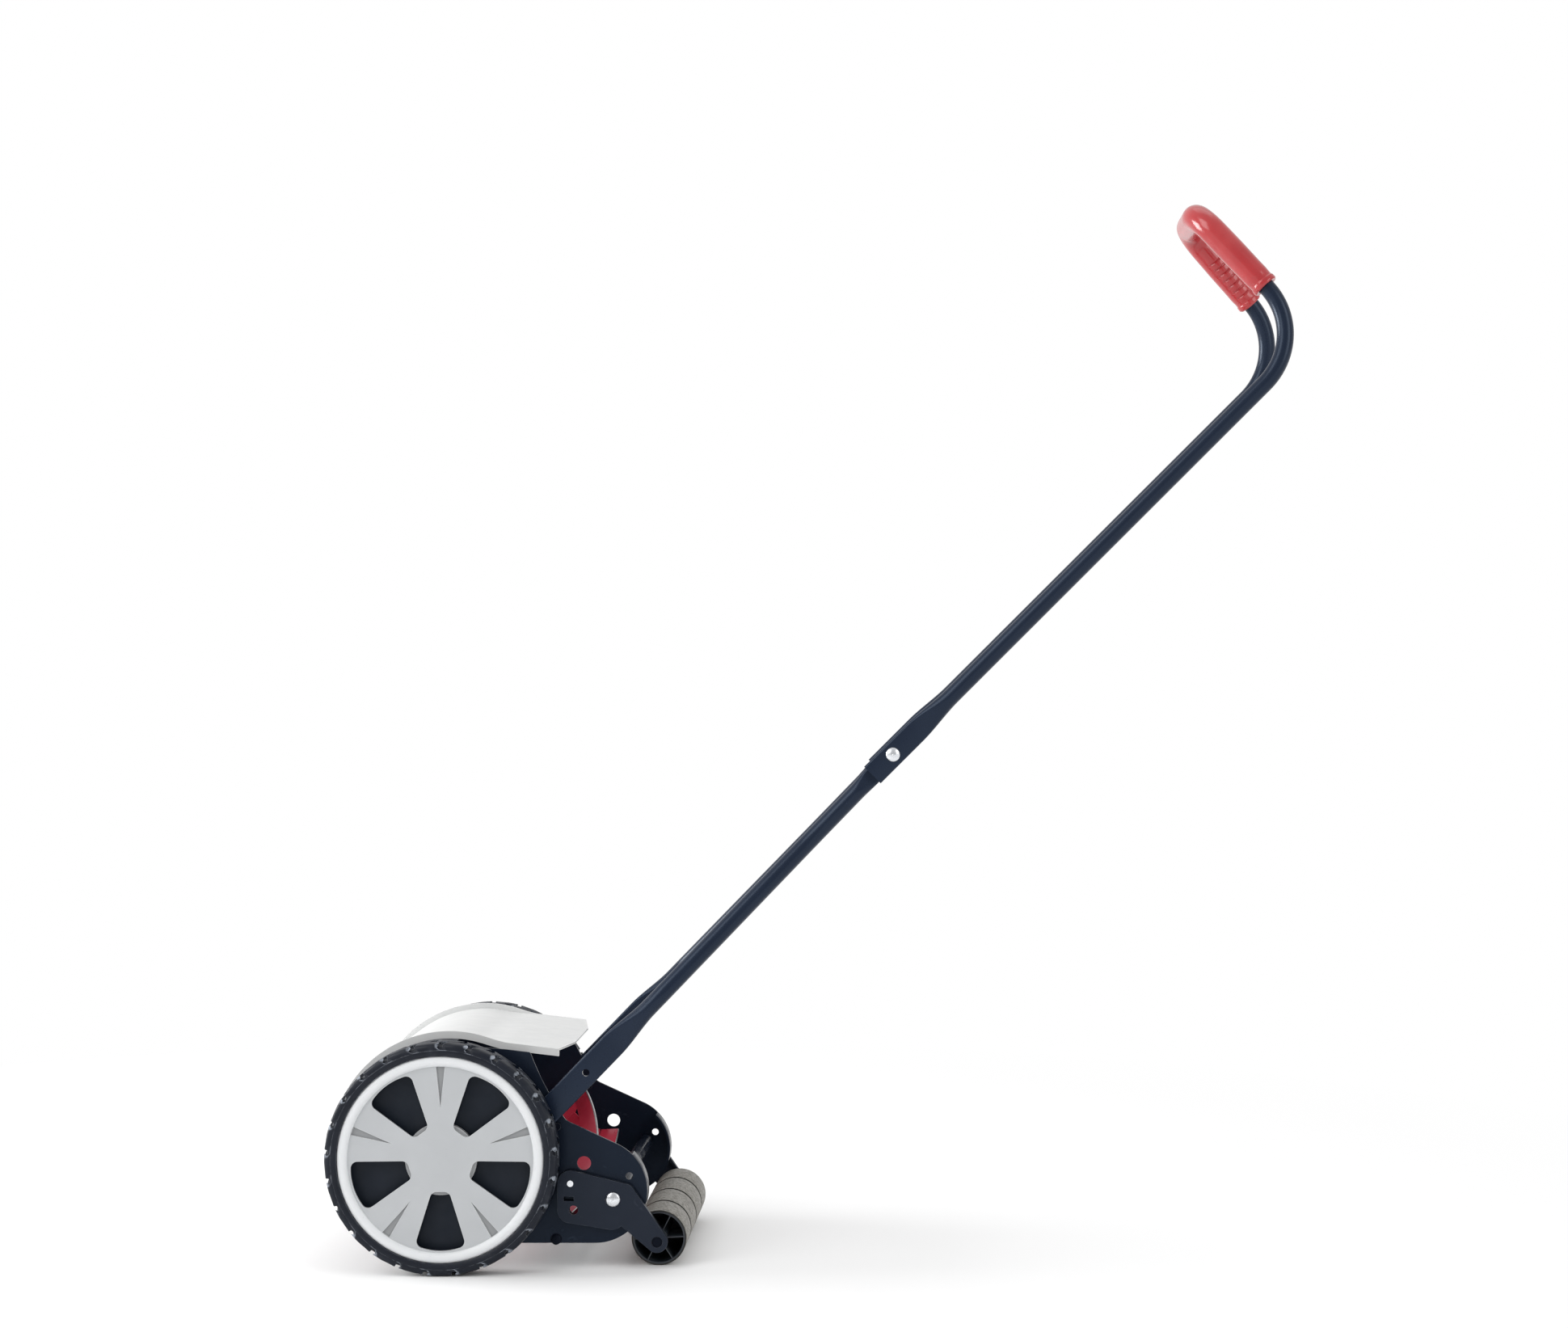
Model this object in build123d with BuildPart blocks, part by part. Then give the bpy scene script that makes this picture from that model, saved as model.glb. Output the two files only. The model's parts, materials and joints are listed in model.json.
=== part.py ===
from build123d import *
from math import acos, asin, atan2, cos, degrees, hypot, pi, radians, sin, sqrt, tan
import os

# A hand-pushed reel mower: two gear-driven wheels, a five-bladed reel, a rear roller and a folding handle.
# Millimetres. X runs to the rear, Y along the wheel axle (left side negative), Z up.
# The origin is on the ground, midway between the two wheels and straight under their axle.

# ---- Driving dimensions ----
WHEEL_RADIUS = 125
TYRE_INNER, TYRE_OUTER = 153, 189  # distances from the centre plane
RIM_RADIUS = 111
LUG_COUNT = 25
LUG_HEIGHT = 2.2
FIRST_NOTCH_ANGLE = 88
SPOKE_COUNT = 5
AXLE_Z = WHEEL_RADIUS
AXLE_RADIUS = 6

PLATE_INNER, PLATE_OUTER = 142, 145
PLATE_BOTTOM = 27.8
REAR_ARC_CENTRE = (161.5, 84)
REAR_ARC_RADIUS = 56.2
FRONT_ARC_RADIUS = 119
FLANGE_DEPTH = 20

GEAR_MODULE = 2.5
RING_TEETH = 84
PINION_TEETH = 11
PRESSURE_ANGLE = radians(20)
BACKLASH = 0.35
GEAR_INNER, GEAR_OUTER = 154, 162.5

REEL_X = 88
REEL_RADIUS = 68.5
BLADE_DEPTH = 21
BLADE_COUNT = 5
BLADE_THICKNESS = 2.6
REEL_HALF_LENGTH = 136
BLADE_TWIST_PER_MM = 0.31  # degrees
BLADE_START_ANGLE = 2.8  # of the first blade, at the right-hand end

ROLLER_CENTRE = (229, 30)
ROLLER_RADIUS = 30
ROLLER_HALF_LENGTH = 128.5
BRACKET_PIVOT = (181.3, 76.3)
BRACKET_INNER, BRACKET_OUTER = 145.5, 152.5

COVER_HALF_WIDTH = 125
COVER_RADIUS = 130
COVER_THICKNESS = 2
COVER_RECESS = 6  # of the cover's skin below its side rims
COVER_LIP = 8  # height of the cover's edge round its tail

TUBE_RADIUS = 9.5
TUBE_WALL = 1.2
FOOT_FLAT = (28, 5.2)  # width and thickness of a lower tube's pressed foot
LOWER_JOINT_FLAT, UPPER_JOINT_FLAT = (20.5, 6), (26, 6)  # of the pressed ends where the handle folds
HANDLE_PIVOT = (90, 149.3)
HANDLE_JOINT = (483.6, 555.8)
LOWER_TUBE_FOOT_Y, LOWER_TUBE_TOP_Y = -148, -90
UPPER_TUBE_Y = -96.4
UPPER_TUBE_ANGLE = 44.95
BEND_RADIUS = 79
LEG_LENGTH = 578  # from the joint bolt to the bend
BEND_TURN = 87.2
LOOP_LENGTH = 110  # from the bend to the crossbar's centreline
CROSSBAR_CORNER_Y = -64.5
CROSSBAR_BEND_RADIUS = 34
GRIP_RADIUS = 15

BOLT_RADIUS, SMALL_BOLT_RADIUS = 4, 3
RUNNING_GAP = 0.05
PRESS_GAP = 0.02  # round a bolt, rivet or bearing in its own hole

# ---- Worked-out positions ----
GEAR_CENTRES = GEAR_MODULE * (RING_TEETH - PINION_TEETH) / 2
REEL_Z = AXLE_Z - sqrt(GEAR_CENTRES**2 - REEL_X**2)
KNIFE_TOP = REEL_Z - REEL_RADIUS - 0.4
MESH_ANGLE = degrees(atan2(REEL_Z - AXLE_Z, REEL_X))
LOWER_TUBE_ANGLE = degrees(atan2(HANDLE_JOINT[1] - HANDLE_PIVOT[1], HANDLE_JOINT[0] - HANDLE_PIVOT[0]))
LOWER_TUBE_LENGTH = hypot(HANDLE_JOINT[1] - HANDLE_PIVOT[1], HANDLE_JOINT[0] - HANDLE_PIVOT[0])

os.makedirs("parts", exist_ok=True)


# ---- Helpers ----
def write(piece, name):
    """Label a finished piece and write it as its own STEP file."""
    piece.part.label = name
    export_step(piece.part, f"parts/{name}.step")


def write_pair(left, name):
    """Write a left-hand piece and its mirror image on the right."""
    write(left, f"{name}_left")
    with BuildPart() as right:
        mirror(left.part, about=Plane.XZ)
    write(right, f"{name}_right")


def write_both_in_one(left, name):
    """Write a left-hand fastener and its mirror image as one group of separate solids."""
    with BuildPart() as group:
        add(left.part)
        mirror(left.part, about=Plane.XZ)
    write(group, name)


def side(distance, x=0, z=0):
    """The upright plane at a distance left of the centre plane, about a point: x to the rear, y up."""
    return Plane(origin=(x, -distance, z), x_dir=(1, 0, 0), z_dir=(0, -1, 0))


def section(x, z):
    """The plane through a line along Y at x, z: x is the radius, y runs outwards on the left."""
    return Plane(origin=(x, 0, z), x_dir=(0, 0, 1), z_dir=(1, 0, 0))


def turned(outline, x, z):
    """Revolve an outline of (radius, distance left of centre) points about the line along Y at x, z."""
    with BuildPart() as piece:
        with BuildSketch(section(x, z)):
            with BuildLine():
                Polyline(outline, close=True)
            make_face()
        revolve(axis=Axis((x, 0, z), (0, 1, 0)))
    return piece


def ring(inner_radius, outer_radius, inner, outer, x, z):
    """A plain ring between two distances left of the centre plane."""
    outline = [(inner_radius, inner), (outer_radius, inner), (outer_radius, outer), (inner_radius, outer)]
    return turned(outline, x, z)


def polar(radius, angle, centre=(0, 0)):
    """The point at a radius and an angle in degrees from a centre."""
    return (centre[0] + radius * cos(radians(angle)), centre[1] + radius * sin(radians(angle)))


# ---- Gear teeth ----
def involute(angle):
    """The involute of a pressure angle, in radians."""
    return tan(angle) - angle


def tooth_half_angle(teeth, radius, extra_width):
    """Half the angle, in radians, that an external tooth takes up at a radius."""
    pitch_radius = GEAR_MODULE * teeth / 2
    base_radius = pitch_radius * cos(PRESSURE_ANGLE)
    flank_angle = acos(min(1, base_radius / radius))
    at_pitch = pi / (2 * teeth) + extra_width / (2 * pitch_radius)
    return at_pitch + involute(PRESSURE_ANGLE) - involute(flank_angle)


def gear_outline(teeth, root_radius, tip_radius, extra_width):
    """The closed outline of an external gear, its first tooth pointing along the mesh line."""
    flank_steps = 3
    radii = [root_radius + (tip_radius - root_radius) * step / flank_steps for step in range(flank_steps + 1)]
    points = []
    for tooth in range(teeth):
        middle = radians(MESH_ANGLE) + 2 * pi * tooth / teeth
        rising = [(r, middle - tooth_half_angle(teeth, r, extra_width)) for r in radii]
        falling = [(r, middle + tooth_half_angle(teeth, r, extra_width)) for r in reversed(radii)]
        points += [(r * cos(angle), r * sin(angle)) for r, angle in rising + falling]
    return points


# ---- Wheels ----
def make_tyre():
    tread_radius = WHEEL_RADIUS - LUG_HEIGHT
    sidewall_radius = 117.5
    shoulder = 4
    middle = (TYRE_INNER + TYRE_OUTER) / 2
    notch_width, notch_depth = 6.5, 2 * LUG_HEIGHT + 0.9
    with BuildPart() as tyre:
        with BuildSketch(section(0, AXLE_Z)):
            with BuildLine():
                Polyline(
                    (RIM_RADIUS + RUNNING_GAP, TYRE_INNER),
                    (sidewall_radius, TYRE_INNER),
                    (tread_radius, TYRE_INNER + shoulder),
                    (WHEEL_RADIUS, TYRE_INNER + shoulder + 2),
                    (WHEEL_RADIUS, TYRE_OUTER - shoulder - 2),
                    (tread_radius, TYRE_OUTER - shoulder),
                    (sidewall_radius, TYRE_OUTER),
                    (RIM_RADIUS + RUNNING_GAP, TYRE_OUTER - 2),
                    close=True,
                )
            make_face()
        revolve(axis=Axis((0, 0, AXLE_Z), (0, 1, 0)))
        pitch = 360 / LUG_COUNT
        for start, phase in ((middle, 0), (TYRE_INNER - 1, pitch / 2)):
            with BuildSketch(side(start, 0, AXLE_Z)):
                with PolarLocations(WHEEL_RADIUS, LUG_COUNT, start_angle=FIRST_NOTCH_ANGLE + phase):
                    Rectangle(notch_depth, notch_width)
            extrude(amount=(TYRE_OUTER - TYRE_INNER) / 2 + 1, mode=Mode.SUBTRACT)
    return tyre


def make_wheel_disc():
    """The black wheel body: barrel, closed web, hub and, moulded inside the barrel, the driving ring gear."""
    web_inner, web_outer = 166, 170
    hub_radius, hub_inner, hub_outer = 16, 152, 176
    bore_radius = 8.5
    barrel_inner_radius = 108.4
    barrel_outer = 181
    ring_pitch_radius = GEAR_MODULE * RING_TEETH / 2
    tooth_tip_radius = ring_pitch_radius - 0.56 * GEAR_MODULE
    tooth_root_radius = ring_pitch_radius + 1.3 * GEAR_MODULE
    with BuildPart() as disc:
        with BuildSketch(side(TYRE_INNER + 0.5, 0, AXLE_Z)):
            Circle(RIM_RADIUS)
            Polygon(
                *gear_outline(RING_TEETH, tooth_tip_radius, tooth_root_radius, BACKLASH),
                align=None,
                mode=Mode.SUBTRACT,
            )
        extrude(amount=GEAR_OUTER + 0.5 - TYRE_INNER)
        with BuildSketch(side(GEAR_OUTER + 1, 0, AXLE_Z)):
            Circle(RIM_RADIUS)
            Circle(barrel_inner_radius, mode=Mode.SUBTRACT)
        extrude(amount=barrel_outer - GEAR_OUTER - 1)
        with BuildSketch(side(web_inner, 0, AXLE_Z)):
            Circle(barrel_inner_radius + 1)
        extrude(amount=web_outer - web_inner)
        with BuildSketch(side(hub_inner, 0, AXLE_Z)):
            Circle(hub_radius)
        extrude(amount=hub_outer - hub_inner)
        with BuildSketch(side(hub_inner - 1, 0, AXLE_Z)):
            Circle(bore_radius)
        extrude(amount=hub_outer - hub_inner + 2, mode=Mode.SUBTRACT)
    return disc


def make_wheel_cap():
    """The grey trim cap: a rounded outer ring and a thin disc with five windows and five tapered grooves."""
    disc_inner, disc_outer = 180.8, 184
    ring_inner_radius, ring_outer = 99.5, 188.2
    collar_inner_radius, collar_outer_radius, collar_start = 33, 38.5, 174
    window_inner_radius, window_outer_radius = 34.6, 98
    window_inner_width, window_outer_width = 19, 55
    window_corner_radius = 92
    window_corner = 7.5
    groove_inner_radius, groove_width, groove_depth = 55.7, 9.4, 1.8
    first_window, first_groove = 54, 90
    with BuildPart() as cap:
        with BuildSketch(section(0, AXLE_Z)):
            with BuildLine():
                Polyline(
                    (0, disc_inner),
                    (collar_inner_radius, disc_inner),
                    (collar_inner_radius, collar_start),
                    (collar_outer_radius, collar_start),
                    (collar_outer_radius, disc_inner),
                    (104.5, disc_inner),
                    (104.5, 173),
                    (108.3, 173),
                    (108.3, 181.1),
                    (RIM_RADIUS, 181.1),
                    (RIM_RADIUS, ring_outer - 3),
                )
                ThreePointArc(
                    (RIM_RADIUS, ring_outer - 3),
                    (RIM_RADIUS - 5.5, ring_outer),
                    (ring_inner_radius, disc_outer),
                )
                Polyline((ring_inner_radius, disc_outer), (0, disc_outer), (0, disc_inner))
            make_face()
        revolve(axis=Axis((0, 0, AXLE_Z), (0, 1, 0)))
        with BuildSketch() as window:
            with BuildLine():
                low_left = (window_inner_radius, -window_inner_width / 2)
                low_right = (window_inner_radius, window_inner_width / 2)
                high_left = (window_corner_radius, -window_outer_width / 2)
                high_right = (window_corner_radius, window_outer_width / 2)
                Polyline(high_left, low_left, low_right, high_right)
                ThreePointArc(high_left, (window_outer_radius, 0), high_right)
            make_face()
            fillet(window.vertices(), window_corner)
        with BuildSketch(side(disc_inner, 0, AXLE_Z)):
            with PolarLocations(0, SPOKE_COUNT, start_angle=first_window):
                add(window.sketch)
        extrude(amount=ring_outer - disc_inner, mode=Mode.SUBTRACT)
        with BuildSketch(side(disc_outer, 0, AXLE_Z)):
            with PolarLocations(0, SPOKE_COUNT, start_angle=first_groove):
                Polygon(
                    (groove_inner_radius, 0),
                    (ring_inner_radius, -groove_width / 2),
                    (ring_inner_radius, groove_width / 2),
                    align=None,
                )
        extrude(amount=-groove_depth, mode=Mode.SUBTRACT)
    return cap


def make_wheels():
    write_pair(make_tyre(), "tyre")
    write_pair(make_wheel_disc(), "wheel_disc")
    write_pair(make_wheel_cap(), "wheel_cap")
    write_pair(ring(AXLE_RADIUS + RUNNING_GAP, 8.48, 152, 176, 0, AXLE_Z), "wheel_bush")
    groove_radius = 5.2
    axle = turned(
        [
            (0, 139),
            (9, 139),
            (9, PLATE_INNER),
            (AXLE_RADIUS, PLATE_INNER),
            (AXLE_RADIUS, PLATE_OUTER),
            (9, PLATE_OUTER),
            (9, 151.7),
            (AXLE_RADIUS, 151.7),
            (AXLE_RADIUS, 177.2),
            (groove_radius, 177.2),
            (groove_radius, 178.4),
            (AXLE_RADIUS, 178.4),
            (AXLE_RADIUS, 179.6),
            (AXLE_RADIUS - 0.8, 180.4),
            (0, 180.4),
        ],
        0,
        AXLE_Z,
    )
    write_pair(axle, "wheel_axle")
    write_both_in_one(ring(AXLE_RADIUS + 0.2, 12, 176.1, 177.1, 0, AXLE_Z), "axle_washers")
    write_both_in_one(ring(groove_radius + 0.02, 9, 177.3, 178.3, 0, AXLE_Z), "axle_circlips")


# ---- Chassis ----
BEARING_RADIUS = 14
ROD_RADIUS, ROD_END_RADIUS = 8, 5
SETTING_HOLE, SETTING_HOLE_RADIUS = (138.7, 64.7), 5
LOCATING_PIN, LOCATING_PIN_RADIUS = (135.2, 93.5), 3
HOLES = {
    "axle": (0, AXLE_Z, AXLE_RADIUS + PRESS_GAP),
    "reel_bearing": (REEL_X, REEL_Z, BEARING_RADIUS + PRESS_GAP),
    "handle_pivot": (*HANDLE_PIVOT, BOLT_RADIUS + PRESS_GAP),
    "rear_rod": (187.5, 90.7, ROD_END_RADIUS + PRESS_GAP),
    "front_rod": (-80, 165, ROD_END_RADIUS + PRESS_GAP),
    "knife_bar": (119, 32, SMALL_BOLT_RADIUS + PRESS_GAP),
    "bracket_pivot": (*BRACKET_PIVOT, BOLT_RADIUS + PRESS_GAP),
    "collector": (198.4, 100.4, 4),
    "drain": (149.2, 114.3, 7.6),
    "height_setting": (*SETTING_HOLE, SETTING_HOLE_RADIUS),
}
STOP_PIN_ALONG, STOP_PIN_RADIUS, STOP_PIN_GAP = 25, 4, 0.4
STOP_PIN = (
    HANDLE_PIVOT[0]
    + STOP_PIN_ALONG * cos(radians(LOWER_TUBE_ANGLE))
    + (FOOT_FLAT[0] / 2 + STOP_PIN_RADIUS + STOP_PIN_GAP) * sin(radians(LOWER_TUBE_ANGLE)),
    HANDLE_PIVOT[1]
    + STOP_PIN_ALONG * sin(radians(LOWER_TUBE_ANGLE))
    - (FOOT_FLAT[0] / 2 + STOP_PIN_RADIUS + STOP_PIN_GAP) * cos(radians(LOWER_TUBE_ANGLE)),
)


def make_side_plate():
    """The left side plate, with a seat for the cover along its front arc and a stiffening flange behind."""
    shoulder_angle = 65.3
    neck_foot, neck_middle, neck_top = (129.5, 160.6), (108.5, 195), (90.7, 234.4)
    tail_front = (65, 237.6)
    top_angle, front_angle, low_front_angle = 76.4, 165, 195
    low_front_radius = AXLE_Z - PLATE_BOTTOM
    axle = (0, AXLE_Z)
    with BuildPart() as plate:
        with BuildSketch(side(PLATE_INNER)) as outline:
            with BuildLine():
                Line((0, PLATE_BOTTOM), (REAR_ARC_CENTRE[0], PLATE_BOTTOM))
                rear = CenterArc(REAR_ARC_CENTRE, REAR_ARC_RADIUS, -90, 90 + shoulder_angle)
                Line(rear @ 1, neck_foot)
                ThreePointArc(neck_foot, neck_middle, neck_top)
                front = CenterArc(axle, FRONT_ARC_RADIUS, top_angle, front_angle - top_angle)
                Polyline(neck_top, tail_front, front @ 0)
                low_front = CenterArc(axle, low_front_radius, low_front_angle, 270 - low_front_angle)
                Line(front @ 1, low_front @ 0)
            make_face()
            fillet(outline.vertices().sort_by_distance((*neck_foot, 0))[0], 14)
            fillet(outline.vertices().sort_by_distance((*neck_top, 0))[0], 3)
            for x, z, radius in HOLES.values():
                with Locations((x, z)):
                    Circle(radius, mode=Mode.SUBTRACT)
            with Locations(STOP_PIN):
                Circle(STOP_PIN_RADIUS - 1, mode=Mode.SUBTRACT)
        extrude(amount=PLATE_OUTER - PLATE_INNER)
        seat_radius = COVER_RADIUS - COVER_RECESS - COVER_THICKNESS - 0.05
        with BuildSketch(side(COVER_HALF_WIDTH - 6)):
            with BuildLine():
                seat = CenterArc(axle, seat_radius, 85, 75)
                inner_seat = CenterArc(axle, FRONT_ARC_RADIUS - 1, 85, 75)
                Line(seat @ 0, inner_seat @ 0)
                Line(seat @ 1, inner_seat @ 1)
            make_face()
        extrude(amount=PLATE_INNER - COVER_HALF_WIDTH + 6)
        with BuildSketch(side(PLATE_INNER - FLANGE_DEPTH)):
            with BuildLine():
                skin = CenterArc(REAR_ARC_CENTRE, REAR_ARC_RADIUS, -15, 60)
                inner_skin = CenterArc(REAR_ARC_CENTRE, REAR_ARC_RADIUS - 2.5, -15, 60)
                Line(skin @ 0, inner_skin @ 0)
                Line(skin @ 1, inner_skin @ 1)
            make_face()
        extrude(amount=FLANGE_DEPTH)
    return plate


def tie_rod(x, z):
    """A cross rod whose thinner ends are riveted flush into the side plates."""
    with BuildPart() as rod:
        for radius, half_length in ((ROD_RADIUS, PLATE_INNER), (ROD_END_RADIUS, PLATE_OUTER)):
            with BuildSketch(side(-half_length, x, z)):
                Circle(radius)
            extrude(amount=2 * half_length)
    return rod


def make_bed_knife():
    """The fixed blade under the reel, the bar that carries it, and their screws."""
    bar_front, knife_back, bar_back = 96, 112.8, 150
    bar_bottom, ledge = 27.5, KNIFE_TOP - 2.2
    screw_x, screw_count, screw_pitch = 104, 5, 60
    half_length = PLATE_INNER - 0.2
    with BuildPart() as bar:
        with BuildSketch(side(-half_length)):
            with BuildLine():
                Polyline(
                    (bar_front, bar_bottom),
                    (bar_back, bar_bottom),
                    (bar_back, 44),
                    (140, 44),
                    (131, 38),
                    (119, 36.6),
                    (knife_back + 0.2, 35.4),
                    (knife_back + 0.2, ledge),
                    (bar_front, ledge),
                    close=True,
                )
            make_face()
        extrude(amount=2 * half_length)
        with BuildSketch(Plane.XY.offset(bar_bottom - 1)):
            with Locations((screw_x, 0)):
                with GridLocations(1, screw_pitch, 1, screw_count):
                    Circle(2.55)
        extrude(amount=10, mode=Mode.SUBTRACT)
        for start in (-half_length, half_length - 20):
            with BuildSketch(side(start, *HOLES["knife_bar"][:2])):
                Circle(SMALL_BOLT_RADIUS + PRESS_GAP)
            extrude(amount=20, mode=Mode.SUBTRACT)
    write(bar, "bed_knife_bar")

    with BuildPart() as knife:
        with BuildSketch(side(-REEL_HALF_LENGTH)):
            with BuildLine():
                Polyline(
                    (REEL_X - 4, KNIFE_TOP),
                    (REEL_X - 3, KNIFE_TOP - 2.2),
                    (knife_back, ledge),
                    (knife_back, KNIFE_TOP),
                    close=True,
                )
            make_face()
        extrude(amount=2 * REEL_HALF_LENGTH)
        with Locations(Plane.XY.offset(KNIFE_TOP)):
            with Locations((screw_x, 0)):
                with GridLocations(1, screw_pitch, 1, screw_count):
                    CounterSinkHole(radius=2.6, counter_sink_radius=4.2, depth=6)
    write(knife, "bed_knife")

    with BuildPart() as screws:
        with Locations(Plane.XY.offset(bar_bottom + 0.2)):
            with Locations((screw_x, 0)):
                with GridLocations(1, screw_pitch, 1, screw_count):
                    shank_length = KNIFE_TOP - 1.7 - bar_bottom - 0.2
                    Cylinder(2.5, shank_length, align=(Align.CENTER, Align.CENTER, Align.MIN))
        with Locations(Plane.XY.offset(KNIFE_TOP - 1.7)):
            with Locations((screw_x, 0)):
                with GridLocations(1, screw_pitch, 1, screw_count):
                    Cone(2.5, 4.1, 1.6, align=(Align.CENTER, Align.CENTER, Align.MIN))
    write(screws, "bed_knife_screws")


def headed_pin(x, z, steps):
    """A pin along Y, given as (radius, from, to) steps by distance left of the centre plane."""
    outline = [(0, steps[0][1])]
    for radius, start, end in steps:
        outline += [(radius, start), (radius, end)]
    outline.append((0, steps[-1][2]))
    return turned(outline, x, z)


def mushroom_bolt(x, z, shank_radius, shank_start, head_start, head_radius, head_height):
    """A bolt along Y with a domed head on its outer end."""
    head_edge, top = head_start + 0.8, head_start + head_height
    dome_height = top - head_edge
    dome_radius = (head_radius**2 + dome_height**2) / (2 * dome_height)
    half_way = asin(head_radius / dome_radius) / 2
    with BuildPart() as bolt:
        with BuildSketch(section(x, z)):
            with BuildLine():
                Polyline(
                    (0, top),
                    (0, shank_start),
                    (shank_radius, shank_start),
                    (shank_radius, head_start),
                    (head_radius, head_start),
                    (head_radius, head_edge),
                )
                ThreePointArc(
                    (head_radius, head_edge),
                    (dome_radius * sin(half_way), top - dome_radius * (1 - cos(half_way))),
                    (0, top),
                )
            make_face()
        revolve(axis=Axis((x, 0, z), (0, 1, 0)))
    return bolt


def hex_nut(x, z, bore_radius, flats, start, end):
    """A nut along Y between two distances left of the centre plane."""
    with BuildPart() as nut:
        with BuildSketch(side(start, x, z)):
            RegularPolygon(flats / 2, 6, major_radius=False)
            Circle(bore_radius, mode=Mode.SUBTRACT)
        extrude(amount=end - start)
    return nut


def make_cover():
    """The cover over the reel: a shell that humps from an arc into a flat tail, with raised side rims."""
    axle = (0, AXLE_Z)
    front_angle, crest_angle = 172, 78
    inner_radius = COVER_RADIUS - COVER_RECESS - COVER_THICKNESS
    hump_foot, tail_end = (65, 242), (119, 235.5)
    rear_edge, straight_half_width = 129, 60
    tail_slope = (tail_end[1] - hump_foot[1]) / (tail_end[0] - hump_foot[0])
    rear_z = tail_end[1] + tail_slope * (rear_edge - tail_end[0])

    def profile(drop):
        """The outer line of the cover's section, lowered over the arc by a drop."""
        with BuildLine() as line:
            arc = CenterArc(axle, COVER_RADIUS - drop, crest_angle, front_angle - crest_angle)
            Spline(arc @ 0, hump_foot, tangents=[(1, -0.2), (1, tail_slope)])
            Line(hump_foot, (rear_edge, rear_z))
        return line

    with BuildPart() as cover:
        with BuildSketch(side(-COVER_HALF_WIDTH)) as skin:
            with BuildLine():
                add(profile(COVER_RECESS).line)
                inner_arc = CenterArc(axle, inner_radius, crest_angle, front_angle - crest_angle)
                inner_foot = (hump_foot[0] - 1, hump_foot[1] - COVER_THICKNESS)
                Spline(inner_arc @ 0, inner_foot, tangents=[(1, -0.2), (1, tail_slope)])
                Line(inner_foot, (rear_edge, rear_z - COVER_THICKNESS))
                Line((rear_edge, rear_z), (rear_edge, rear_z - COVER_THICKNESS))
                Line(inner_arc @ 1, polar(COVER_RADIUS - COVER_RECESS, front_angle, axle))
            make_face()
        extrude(amount=2 * COVER_HALF_WIDTH)
        for start in (-COVER_HALF_WIDTH, COVER_HALF_WIDTH - 3):
            with BuildSketch(side(start)) as rim:
                with BuildLine():
                    add(profile(0).line)
                    low_arc = CenterArc(axle, inner_radius, crest_angle, front_angle - crest_angle)
                    low_foot = (hump_foot[0] - 3, hump_foot[1] - COVER_LIP)
                    Spline(low_arc @ 0, low_foot, tangents=[(1, -0.2), (1, tail_slope)])
                    Line(low_foot, (rear_edge, rear_z - COVER_LIP))
                    Line((rear_edge, rear_z), (rear_edge, rear_z - COVER_LIP))
                    Line(low_arc @ 1, polar(COVER_RADIUS, front_angle, axle))
                make_face()
            extrude(amount=3)
        with BuildSketch(Plane.XY.offset(rear_z - COVER_LIP - 10)):
            for sign in (-1, 1):
                with BuildLine():
                    Polyline(
                        (tail_end[0], sign * (COVER_HALF_WIDTH + 1)),
                        (rear_edge, sign * straight_half_width),
                        (rear_edge + 5, sign * straight_half_width),
                        (rear_edge + 5, sign * (COVER_HALF_WIDTH + 1)),
                        close=True,
                    )
                make_face()
        extrude(amount=40, mode=Mode.SUBTRACT)
    write(cover, "deck_cover")


def make_chassis():
    write_pair(make_side_plate(), "side_plate")
    write(tie_rod(*HOLES["rear_rod"][:2]), "rear_tie_rod")
    write(tie_rod(*HOLES["front_rod"][:2]), "front_tie_rod")
    make_bed_knife()
    write_both_in_one(mushroom_bolt(*HOLES["knife_bar"][:2], 2.98, 125, 145.1, 6, 3), "knife_bar_bolts")
    make_cover()
    bearing = turned(
        [
            (AXLE_RADIUS + RUNNING_GAP, 138),
            (20, 138),
            (20, PLATE_INNER - 0.02),
            (BEARING_RADIUS, PLATE_INNER - 0.02),
            (BEARING_RADIUS, PLATE_OUTER + 1),
            (AXLE_RADIUS + RUNNING_GAP, PLATE_OUTER + 1),
        ],
        REEL_X,
        REEL_Z,
    )
    write_pair(bearing, "reel_bearing")
    bolt_inner = REEL_HALF_LENGTH + 1.3
    handle_bolt = mushroom_bolt(*HANDLE_PIVOT, BOLT_RADIUS, bolt_inner, 151, 8, 3.5)
    write_both_in_one(handle_bolt, "handle_pivot_bolts")
    handle_nut = hex_nut(*HANDLE_PIVOT, BOLT_RADIUS + PRESS_GAP, 13, bolt_inner + 0.5, PLATE_INNER - 0.05)
    write_both_in_one(handle_nut, "handle_pivot_nuts")
    stop = headed_pin(
        *STOP_PIN,
        [(STOP_PIN_RADIUS - 1.05, PLATE_INNER, PLATE_OUTER), (STOP_PIN_RADIUS, PLATE_OUTER, 150)],
    )
    write_both_in_one(stop, "handle_stop_pins")
    bracket_bolt = mushroom_bolt(*BRACKET_PIVOT, BOLT_RADIUS, PLATE_INNER - 7, BRACKET_OUTER + 0.1, 8, 3.2)
    write_both_in_one(bracket_bolt, "bracket_bolts")
    bracket_nut = hex_nut(*BRACKET_PIVOT, BOLT_RADIUS + PRESS_GAP, 12, PLATE_INNER - 6, PLATE_INNER - 0.05)
    write_both_in_one(bracket_nut, "bracket_nuts")


# ---- Reel ----
def blade_angle(y, blade):
    """The angle of a blade about the reel's axis where it crosses a distance along Y."""
    return BLADE_START_ANGLE + blade * 360 / BLADE_COUNT - BLADE_TWIST_PER_MM * (REEL_HALF_LENGTH - y)


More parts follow.
